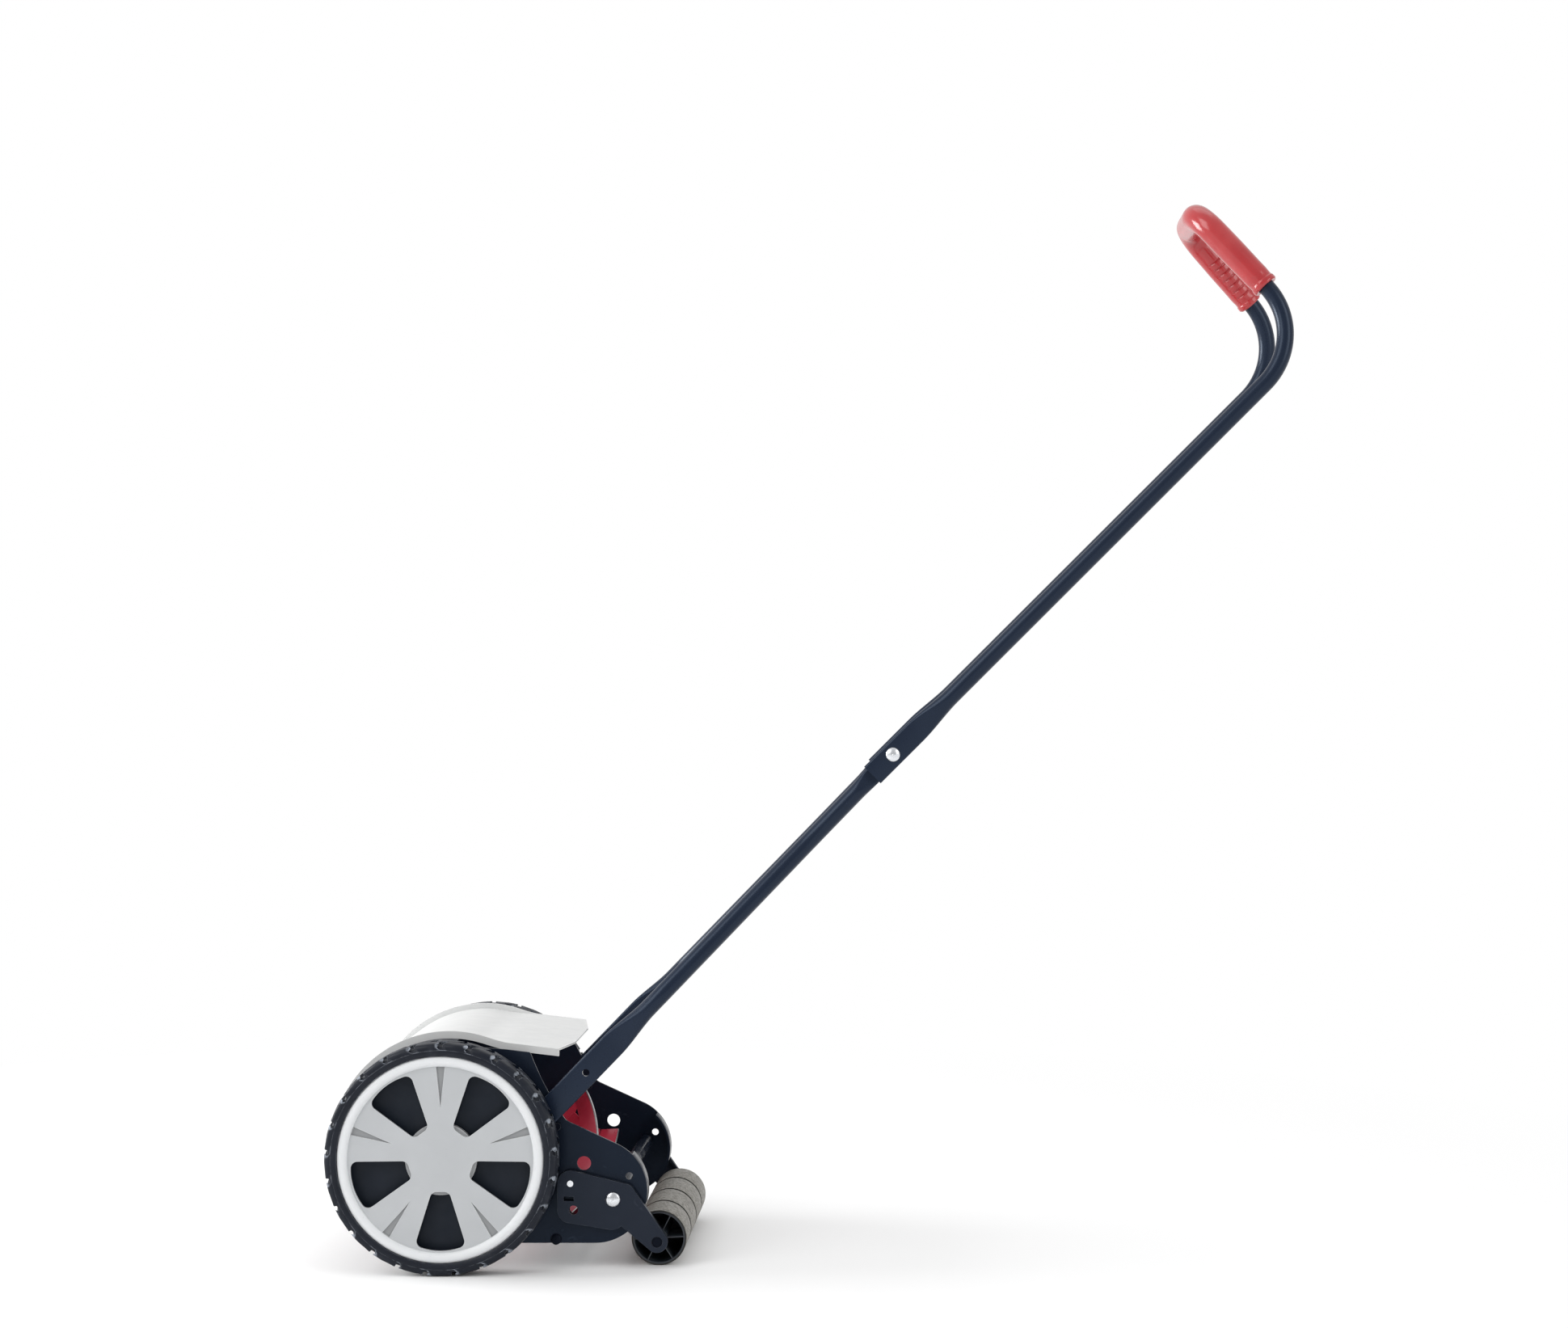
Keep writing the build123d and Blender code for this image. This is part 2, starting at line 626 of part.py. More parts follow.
def reel_plane(y, angle):
    """The cross-section plane of the reel at y, its x axis pointing outwards at an angle."""
    return Plane(
        origin=(REEL_X, y, REEL_Z), x_dir=(cos(radians(angle)), 0, sin(radians(angle))), z_dir=(0, -1, 0)
    )


def make_blade(blade):
    stations = 11
    with BuildPart() as strip:
        for station in range(stations):
            y = REEL_HALF_LENGTH * (1 - 2 * station / (stations - 1))
            with BuildSketch(reel_plane(y, blade_angle(y, blade))):
                with Locations((REEL_RADIUS - BLADE_DEPTH / 2, 0)):
                    Rectangle(BLADE_DEPTH, BLADE_THICKNESS)
        loft()
    return strip


def make_spider(y):
    """A star-shaped plate that carries the five blades on its arms."""
    hub_radius, arm_width, thickness = 25, 17, 3
    arm_length = REEL_RADIUS - BLADE_DEPTH - 0.1
    with BuildPart() as spider:
        with BuildSketch(reel_plane(y, blade_angle(y, 0))):
            Circle(hub_radius)
            with PolarLocations(arm_length / 2, BLADE_COUNT):
                Rectangle(arm_length, arm_width)
            Circle(8.02, mode=Mode.SUBTRACT)
        extrude(amount=thickness / 2, both=True)
    return spider


def make_reel():
    shaft_outer = 165.5
    key_inner, key_outer, key_height, key_length = 156, 160, 3, 15
    pocket_inner, pocket_outer, pocket_radius = 155.8, 160.4, 8.4
    groove_start, groove_end, groove_radius = 163.2, 164.4, 5.2
    with BuildPart() as shaft:
        for radius, half_length in ((8, REEL_HALF_LENGTH), (AXLE_RADIUS, shaft_outer)):
            with BuildSketch(side(-half_length, REEL_X, REEL_Z)):
                Circle(radius)
            extrude(amount=2 * half_length)
        for start in (groove_start, -groove_end):
            with BuildSketch(side(start, REEL_X, REEL_Z)):
                Circle(AXLE_RADIUS + 1)
                Circle(groove_radius, mode=Mode.SUBTRACT)
            extrude(amount=groove_end - groove_start, mode=Mode.SUBTRACT)
        for start in (key_inner - 0.05, -key_outer - 0.05):
            with BuildSketch(side(start, REEL_X, REEL_Z)):
                Rectangle(2 * AXLE_RADIUS + 2, key_height + 0.1)
            extrude(amount=key_outer - key_inner + 0.1, mode=Mode.SUBTRACT)
    write(shaft, "reel_shaft")
    for number, y in enumerate((-120, -40, 40, 120), start=1):
        write(make_spider(y), f"reel_spider_{number}")
    for blade in range(BLADE_COUNT):
        write(make_blade(blade), f"reel_blade_{blade + 1}")

    pitch_radius = GEAR_MODULE * PINION_TEETH / 2
    root_radius = pitch_radius - 0.56 * GEAR_MODULE - 0.6
    with BuildPart() as pinion:
        with BuildSketch(side(GEAR_INNER, REEL_X, REEL_Z)):
            outline = gear_outline(PINION_TEETH, root_radius, pitch_radius + GEAR_MODULE, -BACKLASH / 2)
            Polygon(*outline, align=None)
            Circle(AXLE_RADIUS + RUNNING_GAP, mode=Mode.SUBTRACT)
        extrude(amount=GEAR_OUTER - GEAR_INNER)
        with BuildSketch(side(pocket_inner, REEL_X, REEL_Z)):
            Circle(pocket_radius)
        extrude(amount=pocket_outer - pocket_inner, mode=Mode.SUBTRACT)
    write_pair(pinion, "pinion")
    with BuildPart() as key:
        with BuildSketch(side(key_inner, REEL_X, REEL_Z)):
            Rectangle(key_length, key_height)
        extrude(amount=key_outer - key_inner)
    write_both_in_one(key, "ratchet_keys")
    circlip = ring(groove_radius + 0.02, 9, groove_start + 0.05, groove_end - 0.05, REEL_X, REEL_Z)
    write_both_in_one(circlip, "pinion_circlips")


# ---- Rear roller ----
def make_bracket():
    """The left roller bracket: a shallow pressed pan with a long arm down to the roller's axle."""
    lobe, heel, belly, shoulder = LOCATING_PIN, (LOCATING_PIN[0], SETTING_HOLE[1]), (180, 58), (195.6, 84.8)
    lobe_radius, belly_radius, pivot_radius, shoulder_radius, arm_end_radius = 14, 14.6, 16.2, 8, 11.5
    skin, rim_width = 3, 2.5

    def bracket_face():
        """The bracket's outline, hulled round its lobes and along its arm."""
        with BuildSketch() as body:
            for centre in (lobe, heel):
                with Locations(centre):
                    Circle(lobe_radius)
            with Locations(belly):
                Circle(belly_radius)
            with Locations(shoulder):
                Circle(shoulder_radius)
            make_hull()
        with BuildSketch() as arm:
            for centre, radius in (
                (BRACKET_PIVOT, pivot_radius),
                (shoulder, shoulder_radius),
                (ROLLER_CENTRE, arm_end_radius),
            ):
                with Locations(centre):
                    Circle(radius)
            make_hull()
        with BuildSketch() as outline:
            add(body.sketch)
            add(arm.sketch)
        return outline.sketch

    with BuildPart() as bracket:
        with BuildSketch(side(BRACKET_OUTER - skin)):
            add(bracket_face())
        extrude(amount=skin)
        with BuildSketch(side(BRACKET_INNER)):
            add(bracket_face())
            offset(bracket_face(), amount=-rim_width, mode=Mode.SUBTRACT)
        extrude(amount=BRACKET_OUTER - skin - BRACKET_INNER)
        with BuildSketch(side(BRACKET_INNER - 1)):
            with Locations(BRACKET_PIVOT):
                Circle(BOLT_RADIUS + RUNNING_GAP)
            with Locations(ROLLER_CENTRE):
                Circle(6)
            with Locations(SETTING_HOLE):
                Circle(SETTING_HOLE_RADIUS)
            with Locations((133.5, 77)):
                Rectangle(11, 5)
            with Locations(LOCATING_PIN):
                Circle(LOCATING_PIN_RADIUS + PRESS_GAP)
        extrude(amount=BRACKET_OUTER - BRACKET_INNER + 2, mode=Mode.SUBTRACT)
    return bracket


def make_roller():
    write_pair(make_bracket(), "roller_bracket")
    locator = headed_pin(
        *LOCATING_PIN,
        [
            (LOCATING_PIN_RADIUS, BRACKET_INNER, BRACKET_OUTER),
            (LOCATING_PIN_RADIUS + 0.4, BRACKET_OUTER, BRACKET_OUTER + 0.9),
        ],
    )
    write_both_in_one(locator, "locating_rivets")
    axle_radius, axle_half_length = 5.95, BRACKET_OUTER - 2
    with BuildPart() as axle:
        with BuildSketch(side(-axle_half_length, *ROLLER_CENTRE)):
            Circle(axle_radius)
        extrude(amount=2 * axle_half_length)
    write(axle, "roller_axle")

    sleeve_inner, groove = 28.4, 5.5
    rib_count, rib_thickness, rib_start = 6, 1.3, 3
    with BuildPart() as core:
        with BuildSketch(side(-ROLLER_HALF_LENGTH, *ROLLER_CENTRE)):
            Circle(sleeve_inner)
            Circle(sleeve_inner - 1.8, mode=Mode.SUBTRACT)
            Circle(9)
            with PolarLocations((sleeve_inner + 6) / 2, rib_count, start_angle=rib_start):
                Rectangle(sleeve_inner - 8, rib_thickness)
            Circle(axle_radius + RUNNING_GAP, mode=Mode.SUBTRACT)
        extrude(amount=2 * ROLLER_HALF_LENGTH)
    write(core, "roller_core")
    joints = (-ROLLER_HALF_LENGTH, -70.5, 0, 70.5, ROLLER_HALF_LENGTH)
    for number in range(4):
        start = joints[number] + (groove / 2 if number > 0 else 0)
        end = joints[number + 1] - (groove / 2 if number < 3 else 0)
        sleeve = ring(sleeve_inner + 0.02, ROLLER_RADIUS, -end, -start, *ROLLER_CENTRE)
        write(sleeve, f"roller_sleeve_{number + 1}")


# ---- Handle ----
def handle_plane(foot, angle, along, y):
    """The cross-section of a handle tube at a length along it: x across the slope, y across the mower."""
    direction = (cos(radians(angle)), 0, sin(radians(angle)))
    origin = (foot[0] + along * direction[0], y, foot[1] + along * direction[2])
    return Plane(origin=origin, x_dir=(-direction[2], 0, direction[0]), z_dir=direction)


def flat_section(flat, inset):
    """The section of a tube pressed to a width and thickness: two long sides and two round edges."""
    with BuildSketch() as outline:
        SlotOverall(flat[0] - 2 * inset, flat[1] - 2 * inset)
    return outline.sketch


def round_section(inset):
    """The section of a round tube, as four quarter arcs that match the four sides of the flat section."""
    radius = TUBE_RADIUS - inset
    with BuildSketch() as outline:
        with BuildLine():
            for start in (-45, 45, 135, 225):
                CenterArc((0, 0), radius, start, 90)
        make_face()
    return outline.sketch


def flattened_end(foot, angle, y, tip, flat_end, round_start, flat, inset):
    """A tube's pressed end: a flat run from its tip, then a blend to the round tube, shrunk by an inset."""
    with BuildPart() as end:
        with BuildSketch(handle_plane(foot, angle, tip, y)):
            add(flat_section(flat, inset))
        extrude(amount=flat_end - tip)
        with BuildSketch(handle_plane(foot, angle, flat_end, y)):
            add(flat_section(flat, inset))
        with BuildSketch(handle_plane(foot, angle, round_start, y)):
            add(round_section(inset))
        loft()
    return end.part


def make_lower_tube():
    """The left lower tube: pressed shut at its foot, splayed inwards, and flattened again at the joint."""
    foot_y, top_y = LOWER_TUBE_FOOT_Y, LOWER_TUBE_TOP_Y
    tip, bore_start, flat_end, round_start = -14, 100, 136, 182
    splay_start, splay_end, top_round_end = 205, 440, LOWER_TUBE_LENGTH - 54
    top_flat_start, top_tip = LOWER_TUBE_LENGTH - 34, LOWER_TUBE_LENGTH + 22
    splay_radii = [60, 150]
    hook_hole_along, hook_hole_radius = 89, 4

    def point(along, y):
        return handle_plane(HANDLE_PIVOT, LOWER_TUBE_ANGLE, along, y).origin

    def solid(inset):
        """The tube's outer shape, or its bore when it is inset by the wall."""
        start = bore_start if inset else tip
        end = top_tip + 1 if inset else top_tip
        backwards = LOWER_TUBE_ANGLE + 180
        foot = (HANDLE_PIVOT, LOWER_TUBE_ANGLE, foot_y, start, flat_end, round_start, FOOT_FLAT)
        top = (HANDLE_PIVOT, backwards, top_y, -end, -top_flat_start, -top_round_end, LOWER_JOINT_FLAT)
        with BuildPart() as whole:
            add(flattened_end(*foot, inset))
            add(flattened_end(*top, inset))
            with BuildLine():
                FilletPolyline(
                    point(round_start, foot_y),
                    point(splay_start, foot_y),
                    point(splay_end, top_y),
                    point(top_round_end, top_y),
                    radius=splay_radii,
                )
            with BuildSketch(handle_plane(HANDLE_PIVOT, LOWER_TUBE_ANGLE, round_start, foot_y)):
                add(round_section(inset))
            sweep()
        return whole.part

    with BuildPart() as tube:
        add(solid(0))
        add(solid(TUBE_WALL), mode=Mode.SUBTRACT)
        with BuildSketch(side(-LOWER_TUBE_FOOT_Y - 5)):
            with Locations(HANDLE_PIVOT):
                Circle(BOLT_RADIUS + RUNNING_GAP)
            with Locations((point(hook_hole_along, 0).X, point(hook_hole_along, 0).Z)):
                Circle(hook_hole_radius)
        extrude(amount=10, mode=Mode.SUBTRACT)
        with BuildSketch(side(-top_y - 5)):
            with Locations(HANDLE_JOINT):
                Circle(SMALL_BOLT_RADIUS + RUNNING_GAP)
        extrude(amount=10, mode=Mode.SUBTRACT)
    return tube


def make_upper_tube():
    """The U-shaped upper tube, bent up and inwards to a loop, and its grip: half is made, then mirrored."""
    tip, flat_end, round_start = -32, 38, 90
    corner_setback = BEND_RADIUS * tan(radians(BEND_TURN / 2))
    corner = handle_plane(HANDLE_JOINT, UPPER_TUBE_ANGLE, LEG_LENGTH + corner_setback, UPPER_TUBE_Y)
    first = handle_plane(HANDLE_JOINT, UPPER_TUBE_ANGLE, round_start, UPPER_TUBE_Y)
    turn = radians(BEND_TURN)
    loop_direction = corner.z_dir * cos(turn) + corner.x_dir * sin(turn)
    crossbar_corner = (
        corner.origin
        + loop_direction * (corner_setback + LOOP_LENGTH)
        + Vector(0, CROSSBAR_CORNER_Y - UPPER_TUBE_Y, 0)
    )
    crossbar_middle = Vector(crossbar_corner.X, 0, crossbar_corner.Z)
    rise = (crossbar_corner - corner.origin).normalized()
    rise_turn = radians(rise.get_angle(corner.z_dir))
    grip_start = corner.origin + rise * (BEND_RADIUS * tan(rise_turn / 2))

    def half(inset):
        start = tip - 1 if inset else tip
        end = (HANDLE_JOINT, UPPER_TUBE_ANGLE, UPPER_TUBE_Y, start, flat_end, round_start, UPPER_JOINT_FLAT)
        with BuildPart() as whole:
            add(flattened_end(*end, inset))
            with BuildLine():
                FilletPolyline(
                    first.origin,
                    corner.origin,
                    crossbar_corner,
                    crossbar_middle,
                    radius=[BEND_RADIUS, CROSSBAR_BEND_RADIUS],
                )
            with BuildSketch(first):
                add(round_section(inset))
            sweep()
        return whole.part

    with BuildPart() as tube:
        add(half(0))
        add(half(TUBE_WALL), mode=Mode.SUBTRACT)
        with BuildSketch(side(-UPPER_TUBE_Y - 5)):
            with Locations(HANDLE_JOINT):
                Circle(SMALL_BOLT_RADIUS + RUNNING_GAP)
        extrude(amount=10, mode=Mode.SUBTRACT)
        mirror(about=Plane.XZ)

    with BuildPart() as grip:
        with BuildLine():
            FilletPolyline(grip_start, crossbar_corner, crossbar_middle, radius=CROSSBAR_BEND_RADIUS)
        with BuildSketch(Plane(origin=grip_start, z_dir=rise)):
            Circle(GRIP_RADIUS)
            Circle(TUBE_RADIUS + RUNNING_GAP, mode=Mode.SUBTRACT)
        sweep()
        mirror(about=Plane.XZ)
    write(tube, "upper_tube")
    write(grip, "handle_grip")


def make_handle():
    write_pair(make_lower_tube(), "lower_tube")
    make_upper_tube()
    outer_face = -UPPER_TUBE_Y + UPPER_JOINT_FLAT[1] / 2
    inner_face = -LOWER_TUBE_TOP_Y - LOWER_JOINT_FLAT[1] / 2
    bolt = mushroom_bolt(*HANDLE_JOINT, SMALL_BOLT_RADIUS, inner_face - 10, outer_face + 0.1, 8, 4)
    write_both_in_one(bolt, "joint_bolts")
    washer = ring(SMALL_BOLT_RADIUS + RUNNING_GAP, 9, inner_face - 1.6, inner_face - 0.1, *HANDLE_JOINT)
    write_both_in_one(washer, "joint_washers")
    nut = hex_nut(*HANDLE_JOINT, SMALL_BOLT_RADIUS + PRESS_GAP, 10, inner_face - 8, inner_face - 1.7)
    write_both_in_one(nut, "joint_nuts")


make_wheels()
make_chassis()
make_reel()
make_roller()
make_handle()
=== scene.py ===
import json
from math import cos, pi, radians, sin, tan

import bmesh
import bpy
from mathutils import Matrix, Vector

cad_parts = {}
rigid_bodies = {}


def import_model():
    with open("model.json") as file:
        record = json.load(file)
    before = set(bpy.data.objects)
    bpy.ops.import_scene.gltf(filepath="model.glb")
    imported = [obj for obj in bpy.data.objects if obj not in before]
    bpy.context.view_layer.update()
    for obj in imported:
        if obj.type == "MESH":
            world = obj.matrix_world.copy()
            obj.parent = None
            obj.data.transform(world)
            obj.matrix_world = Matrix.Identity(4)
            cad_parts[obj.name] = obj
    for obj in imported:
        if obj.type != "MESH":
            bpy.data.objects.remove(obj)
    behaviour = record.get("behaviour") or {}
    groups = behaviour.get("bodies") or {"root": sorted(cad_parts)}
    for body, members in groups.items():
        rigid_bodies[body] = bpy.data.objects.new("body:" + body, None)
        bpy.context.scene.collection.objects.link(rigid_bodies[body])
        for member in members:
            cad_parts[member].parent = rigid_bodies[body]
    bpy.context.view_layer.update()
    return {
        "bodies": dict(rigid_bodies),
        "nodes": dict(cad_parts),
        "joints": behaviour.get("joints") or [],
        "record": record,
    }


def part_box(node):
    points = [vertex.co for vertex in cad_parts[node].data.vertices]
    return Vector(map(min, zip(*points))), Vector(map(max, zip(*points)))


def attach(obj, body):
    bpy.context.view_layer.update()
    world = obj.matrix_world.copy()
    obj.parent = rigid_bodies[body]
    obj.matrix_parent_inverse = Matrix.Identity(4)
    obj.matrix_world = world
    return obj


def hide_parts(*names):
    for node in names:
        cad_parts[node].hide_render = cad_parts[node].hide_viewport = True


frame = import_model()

# The looks of a hand-pushed reel mower, in metres.
# X points to the rear, Y along the wheel axle with the left side negative, Z up.
nodes = frame["nodes"]
joint_places = {joint["name"]: Vector(joint["pos_m"]) for joint in frame["joints"]}
MM = 0.001
SIDES = (("left", -1), ("right", 1))
BLADE_COUNT = 5
SLEEVE_COUNT = 4

# ---- Places, read from the frame ----
tyre_low, tyre_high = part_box("tyre_left")
WHEEL_AXIS = joint_places["wheel_left_spin"]
WHEEL_RADIUS = (tyre_high.z - tyre_low.z) / 2
TYRE_OUTER, TYRE_INNER = -tyre_low.y, -tyre_high.y
REEL_AXIS = joint_places["reel_spin"]
REEL_HALF_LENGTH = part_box("reel_blade_1")[1].y
REEL_RADIUS = 68.5 * MM
ROLLER_AXIS = joint_places["roller_spin"]
CAP_FACE = 184 * MM  # how far out the flat face of a wheel cap is
HANDLE_PIVOT = joint_places["handle_pivot"]
HANDLE_JOINT = joint_places["handle_fold"]


# ---- Materials ----
class Shader:
    """A procedural material: a Principled shader whose colour, gloss and relief can vary over the surface."""

    def __init__(self, name, colour, roughness, metallic=0.0, specular=0.5, reflection=(1, 1, 1)):
        self.material = bpy.data.materials.new(name)
        self.material.use_nodes = True
        self.tree = self.material.node_tree
        self.shader = self.tree.nodes["Principled BSDF"]
        self.shader.inputs["Base Color"].default_value = (*colour, 1)
        self.shader.inputs["Roughness"].default_value = roughness
        self.shader.inputs["Metallic"].default_value = metallic
        self.shader.inputs["Specular IOR Level"].default_value = specular
        self.shader.inputs["Specular Tint"].default_value = (*reflection, 1)
        self.coordinates = self.add("ShaderNodeTexCoord").outputs["Object"]
        self.relief = None

    def add(self, kind, **settings):
        """A new node with its settings."""
        node = self.tree.nodes.new(kind)
        for name, value in settings.items():
            setattr(node, name, value)
        return node

    def join(self, output, target):
        """Link one node's output to another's input."""
        self.tree.links.new(output, target)

    def noise(self, size, detail=4.0, stretch=(1, 1, 1), distortion=0.0):
        """Noise whose features are about a size in metres, pulled out along an axis by its stretch."""
        mapping = self.add("ShaderNodeMapping")
        mapping.inputs["Scale"].default_value = tuple(1 / (size * factor) for factor in stretch)
        self.join(self.coordinates, mapping.inputs["Vector"])
        texture = self.add("ShaderNodeTexNoise")
        texture.inputs["Scale"].default_value = 1.0
        texture.inputs["Detail"].default_value = detail
        texture.inputs["Distortion"].default_value = distortion
        self.join(mapping.outputs["Vector"], texture.inputs["Vector"])
        return texture.outputs["Fac"]

    def ranged(self, value, low, high, to_low=0.0, to_high=1.0):
        """Map a value's range to another, clamped."""
        node = self.add("ShaderNodeMapRange")
        self.join(value, node.inputs["Value"])
        limits = {"From Min": low, "From Max": high, "To Min": to_low, "To Max": to_high}
        for socket, number in limits.items():
            node.inputs[socket].default_value = number
        return node.outputs["Result"]

    def edges(self, radius, low=0.02, high=0.25):
        """How near a point is to a sharp edge of the piece, from 0 to 1."""
        bevel = self.add("ShaderNodeBevel", samples=4)
        bevel.inputs["Radius"].default_value = radius
        geometry = self.add("ShaderNodeNewGeometry")
        dot = self.add("ShaderNodeVectorMath", operation="DOT_PRODUCT")
        self.join(bevel.outputs["Normal"], dot.inputs[0])
        self.join(geometry.outputs["Normal"], dot.inputs[1])
        return self.ranged(dot.outputs["Value"], 1 - low, 1 - high)

    def sideways(self, vector):
        """The size of a vector's part along Y, across the mower."""
        parts = self.add("ShaderNodeSeparateXYZ")
        self.join(vector, parts.inputs["Vector"])
        size = self.add("ShaderNodeMath", operation="ABSOLUTE")
        self.join(parts.outputs["Y"], size.inputs[0])
        return size.outputs["Value"]

    def times(self, first, second):
        """The product of two values."""
        node = self.add("ShaderNodeMath", operation="MULTIPLY")
        self.join(first, node.inputs[0])
        self.join(second, node.inputs[1])
        return node.outputs["Value"]

    def tint(self, amount, colour):
        """Blend another colour in by an amount that varies over the surface."""
        mix = self.add("ShaderNodeMix", data_type="RGBA")
        target = self.shader.inputs["Base Color"]
        if target.is_linked:
            self.join(target.links[0].from_socket, mix.inputs["A"])
        else:
            mix.inputs["A"].default_value = target.default_value
        mix.inputs["B"].default_value = (*colour, 1)
        self.join(amount, mix.inputs["Factor"])
        self.join(mix.outputs["Result"], target)
        return self

    def gloss(self, value, low, high):
        """Let the roughness run between two values."""
        self.join(self.ranged(value, 0.3, 0.7, low, high), self.shader.inputs["Roughness"])
        return self

    def bump(self, value, height):
        """Add relief of a height in metres."""
        node = self.add("ShaderNodeBump")
        node.inputs["Strength"].default_value = 1.0
        node.inputs["Distance"].default_value = height
        self.join(value, node.inputs["Height"])
        if self.relief is not None:
            self.join(self.relief, node.inputs["Normal"])
        self.relief = node.outputs["Normal"]
        self.join(self.relief, self.shader.inputs["Normal"])
        return self

    def coat(self, weight, roughness):
        """Add a clear layer."""
        self.shader.inputs["Coat Weight"].default_value = weight
        self.shader.inputs["Coat Roughness"].default_value = roughness
        return self


def enamel(name, colour, dust, roughness=(0.16, 0.3), specular=0.25, scuffs=0.2, edge_wear_and_sheen=0.35, relief=1.0):
    """Glossy paint on steel: bluish reflections, faint mottling, orange peel, scuffs, and edges tinted pale,
    partly worn paint and partly a painted highlight.
    """
    made = Shader(name, colour, roughness[0], specular=specular, reflection=(0.66, 0.8, 1))
    made.tint(made.ranged(made.noise(60 * MM), 0.35, 0.75, 0, 0.4), dust)
    scuffed = tuple(min(1, 2.4 * channel + 0.02) for channel in dust)
    made.tint(made.ranged(made.noise(22 * MM, 6, (1, 0.25, 0.6), 1.2), 0.66, 0.72, 0, scuffs), scuffed)
    # edges tinted bluish grey in patches: partly worn paint, partly a painted highlight
    worn_and_highlit = made.times(made.edges(0.6 * MM), made.ranged(made.noise(9 * MM), 0.4, 0.6, 0.1 * edge_wear_and_sheen, edge_wear_and_sheen))
    made.tint(worn_and_highlit, (0.42, 0.45, 0.5))
    made.gloss(made.noise(18 * MM, 5), *roughness)
    made.bump(made.noise(2.2 * MM, 2), 0.01 * MM * relief)
    made.bump(made.noise(14 * MM, 2), 0.04 * MM * relief)
    return made.material


def moulded(name, colour, shade, roughness, grain=0.7 * MM, depth=0.04 * MM, specular=0.5):
    """Moulded plastic or rubber: fine grain and soft mottling."""
    made = Shader(name, colour, roughness[0], specular=specular)
    made.tint(made.ranged(made.noise(35 * MM, 5), 0.3, 0.7, 0, 0.8), shade)
    made.gloss(made.noise(14 * MM, 5), *roughness)
    made.bump(made.noise(grain, 3), depth)
    return made


def metal(name, colour, roughness, brushed=(1, 1, 1), dull=(0.3, 0.29, 0.28)):
    """Bare or plated metal: fine brushing and dull patches."""
    made = Shader(name, colour, roughness[0], metallic=1.0)
    made.tint(made.ranged(made.noise(8 * MM, 6), 0.5, 0.8, 0, 0.6), dull)
    made.gloss(made.noise(1.2 * MM, 4, brushed), *roughness)
    made.bump(made.noise(0.5 * MM, 3, brushed), 0.012 * MM)
    return made.material


def roller_plastic():
    """Grey-brown plastic with fine light and dark mottling, and end faces painted near black as the shade in
    the grooves between sleeves.
    """
    made = Shader("roller_grey", (0.2, 0.192, 0.172), 0.55, specular=0.3)
    made.tint(made.ranged(made.noise(2.4 * MM, 8), 0.44, 0.6, 0, 0.8), (0.37, 0.358, 0.33))
    made.tint(made.ranged(made.noise(5 * MM, 8, distortion=1.5), 0.5, 0.64, 0, 0.85), (0.085, 0.08, 0.072))
    made.tint(made.ranged(made.noise(30 * MM, 4), 0.4, 0.7, 0, 0.3), (0.15, 0.14, 0.12))
    # painted shade: faces turned across the mower, the sleeves' ends in the narrow grooves, are darkened as
    # if shaded
    groove_shaded_ends = made.sideways(made.add("ShaderNodeNewGeometry").outputs["True Normal"])
    made.tint(made.ranged(groove_shaded_ends, 0.25, 0.55, 0, 0.95), (0.018, 0.017, 0.016))
    made.gloss(made.noise(4 * MM, 5), 0.42, 0.7)
    made.bump(made.noise(1.6 * MM, 6), 0.14 * MM)
    return made.material


def tyre_rubber():
    """Blue-black rubber: grey bloom, and a painted highlight in patches along the edges."""
    made = moulded(
        "tyre_rubber", (0.01, 0.013, 0.021), (0.006, 0.008, 0.014), (0.34, 0.55),
        grain=0.9 * MM, depth=0.05 * MM, specular=0.22,
    )
    # painted highlight: lighter patches along the sharp edges of the lugs
    edge_highlight_patches = made.ranged(made.noise(7 * MM, 6), 0.38, 0.58, 0.02, 0.9)
    made.tint(made.times(made.edges(1.8 * MM, 0.04, 0.3), edge_highlight_patches), (0.3, 0.33, 0.38))
    made.tint(made.ranged(made.noise(16 * MM, 7), 0.58, 0.8, 0, 0.16), (0.09, 0.1, 0.12))
    return made.material


def grip_plastic():
    """Soft red plastic, a little faded, with a thin gloss."""
    made = moulded("grip_red", (0.4, 0.021, 0.025), (0.34, 0.015, 0.02), (0.2, 0.26), 2 * MM, 0.004 * MM)
    made.tint(made.ranged(made.noise(48 * MM, 3), 0.5, 0.8, 0, 0.3), (0.56, 0.085, 0.085))
    made.coat(0.4, 0.12)
    return made.material


def cap_plastic():
    """Silver-grey satin plastic, with painted shade in its grooves and painted highlights on its raised ring
    and along its edges.
    """
    made = moulded("cap_grey", (0.47, 0.485, 0.5), (0.44, 0.455, 0.47), (0.36, 0.5), 0.45 * MM, 0.015 * MM)
    outwards = made.sideways(made.coordinates)
    # painted shade: the deeper below the cap's face, the darker
    painted_groove_shade = made.ranged(outwards, CAP_FACE - 0.5 * MM, CAP_FACE - 1.6 * MM, 0, 0.75)
    made.tint(painted_groove_shade, (0.21, 0.215, 0.22))
    # painted highlight: the higher above the cap's face, the paler
    painted_ring_highlight = made.ranged(outwards, CAP_FACE + 0.3 * MM, CAP_FACE + 1.2 * MM, 0, 0.9)
    made.tint(painted_ring_highlight, (0.74, 0.755, 0.77))
    # painted highlight along the sharp edges
    made.tint(made.ranged(made.edges(0.9 * MM), 0, 1, 0, 0.7), (0.86, 0.87, 0.88))
    made.tint(made.ranged(made.noise(4 * MM, 8, (1, 1, 0.3)), 0.64, 0.72, 0, 0.2), (0.27, 0.28, 0.29))
    return made.material


